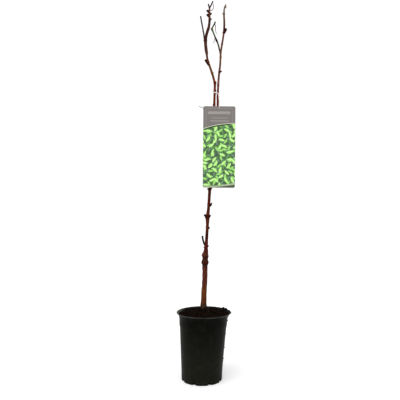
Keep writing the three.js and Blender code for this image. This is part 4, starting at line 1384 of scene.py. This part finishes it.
@dataclass
class Vine:
    """The plant: old trunk, two canes, four masses of twigs, buds, stubs and dry tendrils."""

    ground: float = 187.0
    fork: float = 812.0
    trunk_course: Course = (
        (5.2, 18, 187), (5.2, 18, 197), (6.0, 16, 229), (9.0, 13.5, 277), (9.1, 11.5, 318), (11.8, 10, 357),
        (14.8, 7.5, 405), (15.8, 6.6, 424), (16.3, 5.5, 446), (18.3, 4.5, 463), (19.6, 3.5, 481),
        (22.6, 2, 530), (26.6, 1, 590), (31.0, 0, 668), (34.1, 0, 745), (36.2, 0, 812),
    )
    girth: Table = (
        (187, 7.9), (229, 7.15), (262, 6.9), (300, 7.0), (330, 7.2), (345, 6.7), (360, 5.2), (382, 4.4),
        (408, 4.2), (424, 4.4), (436, 5.2), (450, 4.7), (470, 4.0), (520, 4.2), (545, 3.7), (600, 3.6),
        (690, 3.4), (812, 3.2),
    )
    trunk_tones: Tones = (
        # The two lowest rows are painted shade at the trunk's foot; the dust lies above them.
        (187, Wood.SHADED_FOOT), (192, Wood.SHADED_FOOT), (196, Wood.DUSTED), (201, Wood.DUSTED), (207, Wood.RUST),
        (240, Wood.RUST), (262, Wood.UMBER), (300, Wood.UMBER), (310, Wood.KNOB), (326, Wood.KNOB),
        (338, Wood.CHESTNUT), (352, Wood.OXBLOOD), (380, Wood.OXBLOOD), (393, Wood.SCORCHED),
        (408, Wood.MAHOGANY), (436, Wood.MAHOGANY), (441, Wood.SCORCHED), (446, Wood.SCORCHED),
        (453, Wood.AUBURN), (461, Wood.REDWOOD), (508, Wood.REDWOOD), (520, Wood.SCORCHED),
        (532, Wood.REDWOOD), (700, Wood.COPPER), (804, Wood.COPPER), (812, Wood.EMBER), (818, Wood.AMBER),
    )
    flare: float = 2.4
    flare_height: float = 9.0
    flare_lobes: int = 4
    fork_swell: float = 1.1
    drawn_out: float = 9.0
    string_width: float = 2.4
    thread_width: float = 0.9
    flake_width: float = 3.6
    young_ribs: int = 13
    strips: int = 26
    strip_heights: tuple[float, float] = (194.0, 318.0)
    strip_lengths: tuple[float, float] = (10.0, 34.0)
    strip_lifts: tuple[float, float] = (0.2, 1.5)
    strip_halves: tuple[float, float] = (0.45, 1.05)
    strip_thickness: float = 0.28
    old_below: float = 342.0
    young_above: float = 372.0
    scars: tuple[tuple[float, float, float, float], ...] = (
        (262, 185, 1.0, 5), (282, 170, 0.9, 5), (303, 195, 1.1, 5), (317, 178, 4.0, 5), (317, 2, 3.9, 5),
        (321, 265, 1.8, 6), (326, 95, 1.6, 6), (338, 182, 4.8, 5), (335, 15, 2.5, 5), (341, 280, 1.5, 5),
    )
    cane_buds: tuple[Node, ...] = (
        Node(361, 6, 6.0, tones=DARK_BUD), Node(358, 186, 5.6), Node(411, 0, 6.4, 1.3, 0.5, DARK_BUD),
        Node(474.5, 8, 10.4, 1.6, 0.36, DARK_BUD, 1.05), Node(518, 180, 6.0, tones=DARK_BUD),
        Node(520, 5, 6.0, tones=DARK_BUD),
    )
    shown_nodes: tuple[float, ...] = (414, 446, 478, 520)
    hidden_nodes: ShootRule = ShootRule(558, 789, 7, 15, 180, 50, 4.4, 11)
    node_swell: float = 0.6
    node_reach: float = 3.2
    stubs: tuple[tuple[Course, float, float], ...] = (
        (((15.8, 5.6, 433), (12.0, 5.2, 443), (7.6, 4.6, 450.2)), 3.9, 2.7),
        (((16.4, 5.4, 435), (20.0, 5.6, 443), (23.4, 5.8, 448.6)), 3.7, 2.6),
        (((12.2, 9.8, 361), (7.2, 9.4, 368.4), (3.6, 9.4, 379), (1.6, 9.2, 391)), 2.9, 2.5),
    )
    side_course: Course = (
        (13.9, 0, 884), (12.2, 0.6, 891), (10.2, 0.8, 900), (8.8, 0.8, 912), (7.9, 0.8, 924), (6.6, 1.4, 936),
        (5.2, 3, 947), (2.8, 3, 961), (-0.4, 4, 978), (-3.1, 4, 994.8),
    )
    side_from: float = 943.5
    side_ends: tuple[float, float] = (2.3, 2.0)
    middle_course: Course = (
        (52.6, 4.4, 881), (51.6, 8.4, 892), (48.4, 9.8, 907), (45.2, 10, 920), (40.8, 10, 930.5),
        (34.8, 10, 945), (27.8, 9.4, 962.4),
    )
    middle_upper: Course = ((27.8, 9.4, 962.4), (31.4, 9, 969), (35.4, 9, 976.5), (37.4, 9, 981.4))
    middle_from: float = 897.0
    middle_ends: tuple[float, float] = (2.5, 2.0)
    middle_knots: tuple[Knot, ...] = ((0.6, 0.7, 0.04), (1.0, 1.2, 0.07))
    rules: dict[str, ShootRule] = field(default_factory=lambda: {
        "left": ShootRule(992, 1004, 3, 185, 180, 9, 8.6, 137),
        "right": ShootRule(991, 1017, 4, 275, -95, 12, 5.4, 8),
        "side": ShootRule(951, 973, 2, 150, 180, 10, 2.8, 2),
        "middle": ShootRule(931, 947, 2, 20, 180, 10, 3.2, 6),
    })
    left_fork: Course = ((21.4, 1, 1013.5), (20.2, 1, 1018), (19.4, 0.8, 1022), (17.9, 0.6, 1027))
    tendrils: dict[str, Course] = field(default_factory=lambda: {
        "trunk": ((33.6, 0, 728), (27.5, -1.6, 732), (18, -2, 736), (6.0, -2.4, 740.4), (-7.2, -2.4, 746.2)),
        "left": (
            (21.2, 0.8, 1010), (25.4, -0.8, 1009), (29.6, -2.6, 1010.6), (32.2, -3.6, 1015.6),
            (32.4, -3.4, 1021), (31.6, -3.0, 1025.6),
        ),
        "upper": ((35.2, 9, 976), (37.2, 7.6, 971.6), (38.0, 6.4, 963), (38.2, 5.8, 955.6), (40.4, 5.6, 948)),
        "lower": ((37.0, 10, 940), (36.0, 9.4, 935.4), (34.6, 8.8, 929.6), (33.0, 8.2, 922.4)),
    })
    side_tones: Tones = (
        (884, Wood.PLUM), (925, Wood.MAROON), (945, Wood.ASH), (988, Wood.ASH), (994, Wood.SOOT),
    )
    middle_tones: Tones = (
        (880, Wood.UMBER), (897, Wood.BRACKEN), (922, Wood.BRACKEN), (927, Wood.SOOT), (933, Wood.SOOT),
        (938, Wood.SLOE), (947, Wood.LICHEN), (955, Wood.LICHEN), (960, Wood.OLIVE), (968, Wood.OLIVE),
        (975, Wood.FLINT), (982, Wood.INK),
    )
    stub_tones: Tones = (
        (361, Wood.OXBLOOD), (367, Wood.FLINT), (384, Wood.FLINT), (390, Wood.SOOT), (432, Wood.MAHOGANY),
        (442, Wood.SCORCHED), (448, Wood.SOOT),
    )
    tendril_tones: Tones = ((700, Wood.PEWTER), (800, Wood.PEWTER), (900, Wood.HEATHER), (1040, Wood.HEATHER))
    spur_tones: Tones = ((985, Wood.NIGHT), (997, Wood.SOOT), (1003, Wood.SOOT), (1010, Wood.WALNUT))

    def age(self, height: Array) -> Array:
        """How old the bark is: 1 on the old wood, easing to 0 where the year-old cane starts."""
        return ease((self.young_above - height) / (self.young_above - self.old_below))

    def relief(self, size: Array, side: Array, height: Array) -> Array:
        """The bark's relief.

        Noise is read on the straightened stem, drawn out along it. On old wood the stringy ridges
        are |noise|^0.6, with a fine grain on them. On young wood there are fine even ribs.
        """
        places = polar(size, side, height / self.drawn_out)
        strings = np.abs(noise(places, self.string_width, 41)) ** 0.6 - 0.55
        threads = noise(places * [1.0, 1.0, 0.6], self.thread_width, 42)
        flakes = ease(noise(places, self.flake_width, 43) * 4.0) * 0.3
        ribs = 0.05 * np.cos(self.young_ribs * side + 2.0 * noise(places * 0.2, 1.0, 44))
        old = self.age(height)
        return old * (0.72 * strings + 0.18 * threads + flakes) + (1.0 - old) * (ribs + 0.05 * threads)

    def trunk_radius(self, arc: Array, side: Array, height: Array) -> Array:
        """The trunk's radius: girth, root flare, scars with a hollow heart, nodes, fork and relief."""
        size = eased(self.girth, height) + 0 * side
        lobes = 1.0 + 0.35 * np.cos(self.flare_lobes * side + 0.8)
        size = size + self.flare * np.exp(-(height - self.ground) / self.flare_height) * lobes
        for at, degrees, depth, reach in self.scars:
            off = np.hypot((height - at) / reach, turn(np.radians(degrees), side) / 0.9)
            size = size + depth * (hump(off, 1.0) - 0.4 * hump(off, 0.35))
        for at in [*self.shown_nodes, *(at for at, _ in self.hidden_nodes.places())]:
            size = size + self.node_swell * hump(height - at, self.node_reach)
        size = size + self.fork_swell * hump(height - self.fork, 5.0)
        return size + self.relief(size, side, height)

    def cane_radius(self, cane: Cane) -> Radius:
        """A cane's radius: its girth by height, swollen at its nodes, with a cushion under each bud."""
        swells = [*(found.height for found in cane.nodes), *cane.tip_swells]

        def radius(arc: Array, side: Array, height: Array) -> Array:
            """The cane's radius at a length, a side and a height."""
            near = sum(hump(height - at, self.node_reach) for at in swells)
            size = eased(cane.girth, height) + self.node_swell * 0.8 * np.minimum(near, 1.0)
            for found in (*cane.nodes, *cane.tip_nodes):
                off = turn(np.radians(found.side), side)
                size = size + 0.5 * hump(height - found.height + 1.6, 1.7) * hump(off, 0.7)
            return size + self.relief(size, side, height)

        return radius

    def bud_on(self, line: Line, found: Node, stem: float) -> Surface:
        """The bud of a node on a stem of the given radius."""
        at = line.at(line.arc_at(found.height)) + leaving(found.side, 0.0) * stem * found.stand
        direction = leaving(found.side, found.rise)
        return bud(at, direction, found.length, found.length * found.width, found.tones)

    def buds_of(self, line: Line, girth: Table, nodes: Sequence[Node]) -> list[Surface]:
        """The buds at some nodes of a stem with the given girth."""
        return [self.bud_on(line, found, float(eased(girth, np.array(found.height)))) for found in nodes]

    def twig(
        self, course: Sequence[Point], foot: float, tip: float, tones: Tones,
        swell: float = 0.0, end: End = End.CUT, sides: int = 16,
    ) -> Surface:
        """A twig that tapers evenly, with one swelling a little under its end."""
        line = Line.through(course)
        radius = taper(line, foot, tip, [(0.85, swell, 0.16)], twist=0.4)
        return sweep(line, radius, tones, sides=sides, spacing=0.5, ends=(End.ROUND, end))

    def mass_stem(
        self, line: Line, start: float, radius: Radius, tones: Tones, end: End, sides: int = 20,
    ) -> Surface:
        """The stem of a mass of twigs, from just under a height to its tip."""
        span = (line.arc_at(start - OVERLAP), line.length)
        return sweep(line, radius, tones, span, sides=sides, spacing=0.6, ends=(End.LEVEL, end))

    def tendril(self, name: str) -> Surface:
        """A dry tendril: hair thin, with small kinks, on the course of that name."""
        return self.twig(self.tendrils[name], 1.15, 0.8, self.tendril_tones, end=End.DRY, sides=10)

    def side_shoots(self, line: Line, stem: float, rule: ShootRule, tones: Tones) -> list[Surface]:
        """The side shoots of a mass by its rule, each carried on to two buds and a hair-thin twig.

        Their length and rise vary by the seeded stream. Very short shoots are no more than a bud.
        """
        draw = seeded(rule.seed)
        made = []
        for height, side in rule.places():
            length = rule.length * (1.0 + (draw() - 0.5) * 0.5)
            if rule.length < 4.0:
                made.append(self.bud_on(line, Node(height, side, length), stem))
                continue
            root = line.at(line.arc_at(height))
            bend = root + leaving(side, 0.8 + (draw() - 0.5) * 0.25) * length * 0.62
            tip = bend + leaving(side, 3.0) * length * 0.38
            made.append(self.twig([root, bend, tip], stem * 1.05, stem * 0.9, tones, swell=0.5))
            made.extend(self.finer(bend, tip, side, stem))
        return made

    def finer(self, bend: Array, tip: Array, side: float, stem: float) -> list[Surface]:
        """Two small buds and a hair-thin dry twig at the end of a short shoot."""
        middle = (bend + tip) / 2
        hair = [bend, bend + leaving(side + 70, 0.6) * 2.2, bend + leaving(side + 95, 1.4) * 3.6]
        return [
            bud(middle + leaving(side + 95, 0.0) * stem * 0.5, leaving(side + 95, 0.9), 1.9, 0.85),
            bud(tip + leaving(side - 80, 0.0) * stem * 0.35, leaving(side - 60, 1.3), 2.0, 0.9),
            self.twig(hair, 0.45, 0.22, self.tendril_tones, end=End.DRY, sides=8),
        ]

    def wood(self) -> bpy.types.Mesh:
        """The trunk and both canes up to their twigs, as one skin with the bark's relief.

        The hidden nodes' buds all lie on the trunk's back.
        """
        line = Line.through(self.trunk_course)
        trunk = sweep(line, self.trunk_radius, self.trunk_tones, sides=56, spacing=0.9,
                      ends=(End.LEVEL, End.ROUND), age=self.age)
        hidden = [
            Node(height, -side if np.sin(np.radians(side)) < 0 else side, self.hidden_nodes.length)
            for height, side in self.hidden_nodes.places()
        ]
        return united("vine_wood", [
            trunk,
            *self.buds_of(line, self.girth, [*self.cane_buds, *hidden]),
            *(self.twig(*stub, self.stub_tones, swell=0.2) for stub in self.stubs),
            self.tendril("trunk"),
            *self.cane_parts(LEFT_CANE),
            *self.cane_parts(RIGHT_CANE),
            self.stub_of(self.side_course, self.side_ends, self.side_from, self.side_tones),
            self.stub_of(self.middle_course, self.middle_ends, self.middle_from, self.middle_tones),
        ])

    def cane_parts(self, cane: Cane) -> list[Surface]:
        """A cane up to its mass of twigs, with its buds and its cut spur."""
        line = Line.through(cane.course)
        span, ends = (0.0, line.arc_at(cane.twigs_from)), (End.ROUND, End.LEVEL)
        return [
            sweep(line, self.cane_radius(cane), cane.tones, span, sides=32, spacing=0.7, ends=ends),
            *self.buds_of(line, cane.girth, cane.nodes),
            self.twig(*cane.spur, self.spur_tones, swell=0.3),
        ]

    def stub_of(self, course: Course, girths: tuple[float, float], top: float, tones: Tones) -> Surface:
        """The foot of a side twig, which stays with the cane."""
        line = Line.through(course)
        return sweep(line, taper(line, *girths), tones, (0.0, line.arc_at(top)), ends=(End.ROUND, End.LEVEL))

    def left_tips(self) -> bpy.types.Mesh:
        """The spurs and forked tips at the end of the left cane."""
        cane, line = LEFT_CANE, Line.through(LEFT_CANE.course)
        return united("left_tip_spurs", [
            self.mass_stem(line, cane.twigs_from, self.cane_radius(cane), cane.tones, End.ROUND, sides=28),
            *self.side_shoots(line, 2.8, self.rules["left"], self.spur_tones),
            *self.buds_of(line, cane.girth, cane.tip_nodes),
            self.twig(self.left_fork, 1.9, 1.7, cane.tones, swell=0.3),
            self.tendril("left"),
            bud(line.points[-1] + [0.1, 0.0, 0.4], leaving(0, 2.0), 3.4, 2.0, DARK_BUD),
        ])

    def right_tips(self) -> bpy.types.Mesh:
        """The short shoots and the dry tip at the end of the right cane."""
        cane, line = RIGHT_CANE, Line.through(RIGHT_CANE.course)
        return united("right_tip_spurs", [
            self.mass_stem(line, cane.twigs_from, self.cane_radius(cane), cane.tones, End.CUT, sides=24),
            *self.side_shoots(line, 1.9, self.rules["right"], cane.tones),
        ])

    def side_mass(self) -> bpy.types.Mesh:
        """The thin cut twig on the left cane."""
        line = Line.through(self.side_course)
        radius = taper(line, *self.side_ends, ribs=9)
        return united("side_spur", [
            self.mass_stem(line, self.side_from, radius, self.side_tones, End.CUT),
            *self.side_shoots(line, 1.5, self.rules["side"], self.side_tones),
        ])

    def middle_mass(self) -> bpy.types.Mesh:
        """The crooked twig between the canes, with its knuckle, its cut end and two tendrils."""
        line = Line.through(self.middle_course)
        radius = taper(line, *self.middle_ends, self.middle_knots)
        return united("middle_spur", [
            self.mass_stem(line, self.middle_from, radius, self.middle_tones, End.ROUND),
            self.twig(self.middle_upper, 2.1, 1.9, self.middle_tones, swell=0.3),
            bud(line.points[-1], leaving(175, 0.25), 3.6, 1.4),
            *self.side_shoots(line, 1.6, self.rules["middle"], self.middle_tones),
            self.tendril("upper"),
            self.tendril("lower"),
        ])

    def peeling_strips(self) -> Surface:
        """Strips of old bark that peel off the trunk.

        A strip lies on the trunk's radius. Its section is a flat ellipse, and one end, on every
        third strip the lower one, lifts off by lift * share^4.
        """
        chance = np.random.default_rng(51)
        line = Line.through(self.trunk_course)
        share = np.linspace(0.0, 1.0, 26)[:, None]
        round_it = whole_turn(8)
        strips = []
        for index in range(self.strips):
            low, length = chance.uniform(*self.strip_heights), chance.uniform(*self.strip_lengths)
            start = chance.uniform(0.0, 2 * np.pi)
            lift, half = chance.uniform(*self.strip_lifts), chance.uniform(*self.strip_halves)
            height = low + length * (share if index % 3 else 1.0 - share)
            arcs = np.interp(height[:, 0], line.points[:, 2], line.arcs)
            side = start + chance.uniform(-0.2, 0.2) * share
            reach = self.trunk_radius(arcs[:, None], side, height) + 0.05 + lift * share**4
            out, across = polar(1.0, side, 0.0), polar(1.0, side + np.pi / 2, 0.0)
            wide = half * np.sin(np.pi * (0.08 + 0.84 * share)) ** 0.4 * np.cos(round_it)
            thick = reach + self.strip_thickness / 2 * np.sin(round_it)
            rings = line.at(arcs)[:, None] + out * thick[..., None] + across * wide[..., None]
            tone = tone_at(self.trunk_tones, rings[..., 2]) * chance.uniform(0.75, 1.35)
            values = {"tone": tone, "grain": rings * MM, "age": 1.0}
            strips.append(Surface.skin(rings if index % 3 else rings[:, ::-1], values))
        return Surface.joined(strips)

    def build(self) -> None:
        """Makes the wood, the masses of twigs and the peeling bark."""
        bark = VineBark().build()
        twigs = VineBark("twig_bark", roughness=(0.55, 0.8)).build()
        piece("vine_wood", self.wood(), bark, ["trunk", "left_bough", "right_bough"])
        piece("bark_strips", self.peeling_strips().mesh("bark_strips"), bark)
        masses = {
            "left_tip_twigs": self.left_tips(), "right_tip_twigs": self.right_tips(),
            "side_twig": self.side_mass(), "middle_twig": self.middle_mass(),
        }
        for replaced, mesh in masses.items():
            piece(mesh.name, mesh, twigs, [replaced])


# The card and its tie


@dataclass
class PictureCard:
    """The hanging card: a thin plate with round corners and a hole, and printed fields on its front."""

    width: float = 87.8
    height: float = 222.4
    thickness: float = 0.6
    corner: float = 4.0
    centre: tuple[float, float] = (47.3, 634.7)
    back: float = -4.5
    roll: float = -0.008
    hole: tuple[float, float] = (48.2, 738.2)
    hole_radius: float = 2.2
    ink: float = 0.03
    inset: float = 0.35
    corner_gap: float = 0.6
    bars: tuple[tuple[float, float, float, float], ...] = (
        (-31.5, 31.0, 93.5, 7.5), (-22.0, 23.0, 79.2, 2.0), (-25.0, 27.0, 71.0, 2.6),
    )

    def outline(self) -> Array:
        """The card's outline: its corners are quarter turns, each about its own centre."""
        quarter = np.linspace(0.0, np.pi / 2, 9)
        centres = [(1, 1), (-1, 1), (-1, -1), (1, -1)]
        reach = np.array([self.width, self.height]) / 2 - self.corner
        return np.vstack([
            centre * reach + polar(self.corner, quarter + index * np.pi / 2, 0.0)[:, :2]
            for index, centre in enumerate(centres)
        ])

    def slab(self, outline: Array, front: float, back: float, bevel: float = 0.0) -> Surface:
        """A flat slab between two depths, its outline given on the card, anticlockwise from the front.

        Its rings run from the back's middle over its edge to the front's middle, and a bevel
        draws the edges of both faces in.
        """
        low, high = outline.min(axis=0), outline.max(axis=0)
        middle = (low + high) / 2
        inner = 1.0 - 2 * bevel / (high - low)
        rows = [(0.02, back), (0.5, back), (inner, back), (1.0, back - bevel), (1.0, front + bevel),
                (inner, front), (0.5, front), (0.02, front)]
        rings = np.stack([
            np.concatenate([middle + (outline - middle) * share, np.full((len(outline), 1), depth)], axis=-1)
            for share, depth in rows
        ])
        return Surface.skin(self.placed(rings)[:, ::-1])

    def placed(self, places: Array) -> Array:
        """Turns places on the card (across, up, depth) into the frame, rolled about the card's centre."""
        return spun(places, self.roll)[..., [0, 2, 1]] + [self.centre[0], 0.0, self.centre[1]]

    def plate(self) -> bpy.types.Mesh:
        """The blank card with its hole."""
        front = self.back - self.thickness
        card = self.slab(self.outline(), front, self.back, bevel=0.15)
        side = whole_turn(28)
        depth = np.linspace(front - 1.0, self.back + 1.0, 4)[:, None]
        hole = polar(self.hole_radius, -side, depth)[..., [0, 2, 1]] + [self.hole[0], 0.0, self.hole[1]]
        return united("card_plate", [card], [Surface.skin(hole)])

    def field(self, rows: Sequence[tuple[float, float, float]], layer: int) -> Surface:
        """A printed field between a left and a right edge and two curves over the card's width.

        Args:
            rows: For each place across the card, the lower and the upper edge.
            layer: How many layers of ink lie under it.

        Returns:
            The field as a slab of ink.
        """
        across, low, high = np.array(rows).T
        outline = np.vstack([np.stack([across, low], axis=-1), np.stack([across, high], axis=-1)[::-1]])
        front = self.back - self.thickness - self.ink * (layer + 1)
        return self.slab(outline, front, front + self.ink * 1.5)

    def within(self, across: Array) -> Array:
        """How high the printable area reaches above the card's middle: its corners are quarter circles."""
        corner = self.corner - self.inset
        into = np.clip(np.abs(across) - self.width / 2 + self.corner, 0.0, corner)
        return self.height / 2 - self.corner + np.sqrt(corner**2 - into**2)

    def panel(self, low: Curve | None, high: Curve | None) -> Surface:
        """A printed field across the card, between two curves or the card's own ends."""
        reach = self.width / 2 - self.inset
        across = reach * np.sin(np.linspace(-np.pi / 2, np.pi / 2, 61))
        edge = self.within(across)
        bottom = np.maximum(low(across), -edge) if low else -edge
        top = np.minimum(high(across), edge) if high else edge
        return self.field(np.stack([across, bottom, np.maximum(top, bottom + 0.02)], axis=-1), 0)

    def divider(self, across: Array) -> Array:
        """The head's lower edge: it rises from left to right and levels off, as 1 - (1 - share)^2.2."""
        share = np.clip(across / self.width + 0.5, 0.0, 1.0)
        return 49.6 + 14.6 * (1.0 - (1.0 - share) ** 2.2)

    def foot_edge(self, across: Array) -> Array:
        """The foot's upper edge: level, then rising to the right as the share's third power."""
        share = np.clip(across / self.width + 0.5, 0.0, 1.0)
        return -105.6 + 7.5 * share**3

    def wedge(self) -> Surface:
        """The dark wedge along the card's lower edge, rising evenly from left of the middle."""
        across = np.linspace(-15.0, self.width / 2 - self.inset, 31)
        rise = np.linspace(0.3, 7.7, 31) - self.height / 2 + self.inset
        return self.field(np.stack([across, -self.within(across), rise], axis=-1), 1)

    def line_frame(self) -> list[Surface]:
        """The thin line inside the head's edge: two uprights and a bar between them."""
        ends, top, half = np.array([-36.2, 36.8]), 105.2, 0.45
        feet = self.divider(ends) + 1.5
        rows = [[(end - half, foot, top), (end + half, foot, top)] for end, foot in zip(ends, feet)]
        rows.append([(end, top - half, top + half) for end in ends])
        return [self.field(each, 2) for each in rows]

    def build(self) -> None:
        """Makes the card and everything printed on it."""
        stock = PlainPlastic("card_polypropylene", "#6d6866")
        piece("card_plate", self.plate(), stock.build(), ["label_card"])
        end = self.width / 2 - self.corner_gap
        lines = [
            self.strip(np.linspace(-end, end, 41), self.divider, 0.8),
            self.strip(np.linspace(6.0, end, 21), self.foot_edge, 0.6),
        ]
        bars = [*self.line_frame(), *(self.bar(*bar) for bar in self.bars)]
        prints = (
            ("card_head", PlainPlastic("ink_mauve_grey", "#6d6765"), self.panel(self.divider, None)),
            ("card_picture", LeafPrint(), self.panel(self.foot_edge, self.divider)),
            ("card_foot", PlainPlastic("ink_grey_green", "#93a37d"), self.panel(None, self.foot_edge)),
            ("card_wedge", PlainPlastic("ink_slate_green", "#3a4733"), self.wedge()),
            ("card_lines", PlainPlastic("ink_pale_green", "#c6d2b4"), Surface.joined(lines)),
            ("card_bars", PlainPlastic("ink_pale_grey", "#8f8985"), Surface.joined(bars)),
        )
        for name, finish, surface in prints:
            piece(name, surface.mesh(name), finish.build())

    def strip(self, across: Array, curve: Curve, half: float) -> Surface:
        """A thin printed strip along a curve."""
        return self.field(np.stack([across, curve(across) - half, curve(across) + half], axis=-1), 3)

    def bar(self, left: float, right: float, middle: float, height: float) -> Surface:
        """A plain level bar with round ends, each a half circle of its height."""
        across = np.linspace(left, right, 41)
        from_end = np.minimum(across - left, right - across)
        round_end = np.sqrt(1 - (1 - np.clip(from_end / (height / 2), 0.03, 1)) ** 2) * height / 2
        return self.field(np.stack([across, middle - round_end, middle + round_end], axis=-1), 2)


@dataclass
class CardTie:
    """The white tie: a flat strap round both canes, its tail, and the cord through the card's hole."""

    start: tuple[float, float] = (35.6, 0.0)
    end: tuple[float, float] = (44.3, 4.2)
    height: float = 782.8
    slope: float = -0.236
    stem: float = 3.5
    gap: float = 0.3
    strap: float = 1.0
    width: float = 2.4
    cord: float = 0.6

    def strap_surface(self) -> Surface:
        """The strap: a squared oval section carried round two circles and their tangents, then sheared."""
        start, end = np.array(self.start), np.array(self.end)
        heading = np.arctan2(*(end - start)[::-1])
        turns = np.concatenate([np.linspace(-1.0, 1.0, 30), np.linspace(1.0, 3.0, 30)]) * np.pi / 2 + heading
        side = whole_turn(16)
        thick = self.stem + self.gap + self.strap / 2 * (1.0 + squared(np.cos(side), 0.6))
        tall = self.width / 2 * squared(np.sin(side), 0.6)
        rings = polar(thick, turns[:, None], self.height + tall)
        rings[..., :2] += np.repeat([end, start], 30, axis=0)[:, None]
        rings[..., 2] += self.slope * (rings[..., 0] - (start[0] + end[0]) / 2)
        return Surface.skin(rings[:, ::-1], wraps=True)

    def loop(self) -> Surface:
        """The cord from the strap through the card's hole and back up behind the card."""
        card = PictureCard()
        hole_x, hole_z = card.hole
        front = card.back - card.thickness - self.gap - self.cord
        behind = card.back + self.gap + self.cord
        through = hole_z + card.hole_radius - self.gap - self.cord
        bend = (behind - front) / 2
        angle = np.radians([0, 45, 90, 135, 180])
        under = np.stack([np.full(5, hole_x), front + bend * (1 - np.cos(angle)),
                          through + bend * (1 - np.sin(angle))], axis=-1)
        course = [
            (46.4, 0.0, 781), (46.8, -1.6, 777), (47.8, -4.2, 762), (hole_x, front, 747), *under,
            (hole_x, behind + 0.1, 747), (47.2, -2.8, 762), (45.2, -0.4, 781),
        ]
        return self.strand(course)

    def tail(self) -> Surface:
        """The strap's free end, which points to the left."""
        return self.strand([(31.8, -1.2, 784.4), (28.6, -4, 787), (24, -4.6, 788.4), (19.8, -3.6, 787.4)])

    def strand(self, course: Sequence[Point]) -> Surface:
        """A round strand along a course, with the faint twist of two plies."""
        line = Line.through(course)

        def radius(arc: Array, side: Array, height: Array) -> Array:
            """The strand's radius: even, with a two-ply twist."""
            return self.cord * (0.94 + 0.06 * np.cos(2 * side + arc * 1.6))

        return sweep(line, radius, (), sides=14, spacing=0.4)

    def build(self) -> None:
        """Makes the strap, its tail and its cord as one piece."""
        mesh = united("card_tie", [self.strap_surface(), self.loop(), self.tail()])
        white = PlainPlastic("white_polythene", "#d9d3cb", roughness=0.42)
        piece("card_tie", mesh, white.build(), ["label_tie"])


# The studio


@dataclass
class Studio:
    """A pale floor, soft light from the front, and the photograph's camera."""

    camera: Point = (-4.8, -1370.0, 490.0)
    focal: float = 500.0
    frame_width: float = 400.0
    sensor: float = 36.0
    white: str = "#ffffff"
    sky: float = 0.7
    backdrop: float = 1.05
    softness: float = 60.0

    def build(self) -> None:
        """Makes floor, world, lights and camera."""
        self.make_floor()
        self.make_world()
        self.make_light("key", 50.0, -28.0, 1.35)
        self.make_light("fill", 20.0, 24.0, 0.3)
        lens = bpy.data.cameras.new("photo_camera")
        lens.sensor_width = self.sensor
        lens.lens = self.focal / self.frame_width * self.sensor
        lens.clip_start, lens.clip_end = 0.01, 100.0
        camera = bpy.data.objects.new("photo_camera", lens)
        camera.location = np.array(self.camera) * MM
        camera.rotation_euler = (np.pi / 2, 0.0, 0.0)
        bpy.context.scene.collection.objects.link(camera)
        bpy.context.scene.camera = camera
        bpy.context.scene.view_settings.view_transform = "Standard"

    def make_floor(self) -> None:
        """A wide floor at the pot's underside, of white acrylic lit a little from below."""
        half = 9000.0
        corners = half * np.array([[-1, -1, 0], [1, -1, 0], [1, 1, 0], [-1, 1, 0]])
        surface = Surface(corners, np.array([[0, 1, 2, 3]]), np.zeros((0, 3), int), {})
        floor = bpy.data.objects.new("studio_floor", surface.mesh("studio_floor"))
        floor.data.materials.append(StudioAcrylic().build())
        bpy.context.scene.collection.objects.link(floor)

    def make_world(self) -> None:
        """Even soft light from all round, in front of a white backdrop that the camera sees."""
        world = bpy.data.worlds.new("studio_white")
        world.use_nodes = True
        tree = world.node_tree
        tree.nodes.clear()
        seen = node(tree, "LightPath").outputs["Is Camera Ray"]
        strength = node(tree, "MapRange", seen, 0.0, 1.0, self.sky, self.backdrop)
        node(tree, "OutputWorld", node(tree, "Background", linear(self.white), strength))
        bpy.context.scene.world = world

    def make_light(self, name: str, rise: float, side: float, strength: float) -> None:
        """A large soft light that shines towards the plant from its front.

        Args:
            name: Its name.
            rise: Its height above the horizon, in degrees.
            side: Its turn to the right of the camera, in degrees.
            strength: Its strength in watts per square metre.
        """
        lamp = bpy.data.lights.new(name, "SUN")
        lamp.energy = strength
        lamp.angle = np.radians(self.softness)
        light = bpy.data.objects.new(name, lamp)
        light.rotation_euler = (np.radians(90.0 - rise), 0.0, np.radians(side))
        bpy.context.scene.collection.objects.link(light)


def main() -> None:
    """Builds the studio and every sub-assembly."""
    logging.basicConfig(level=logging.INFO, format="%(message)s")
    for assembly in (Studio(), NurseryPot(), Compost(), Vine(), PictureCard(), CardTie()):
        assembly.build()
        log.info("built %s", type(assembly).__name__)


if __name__ == "__main__":
    main()
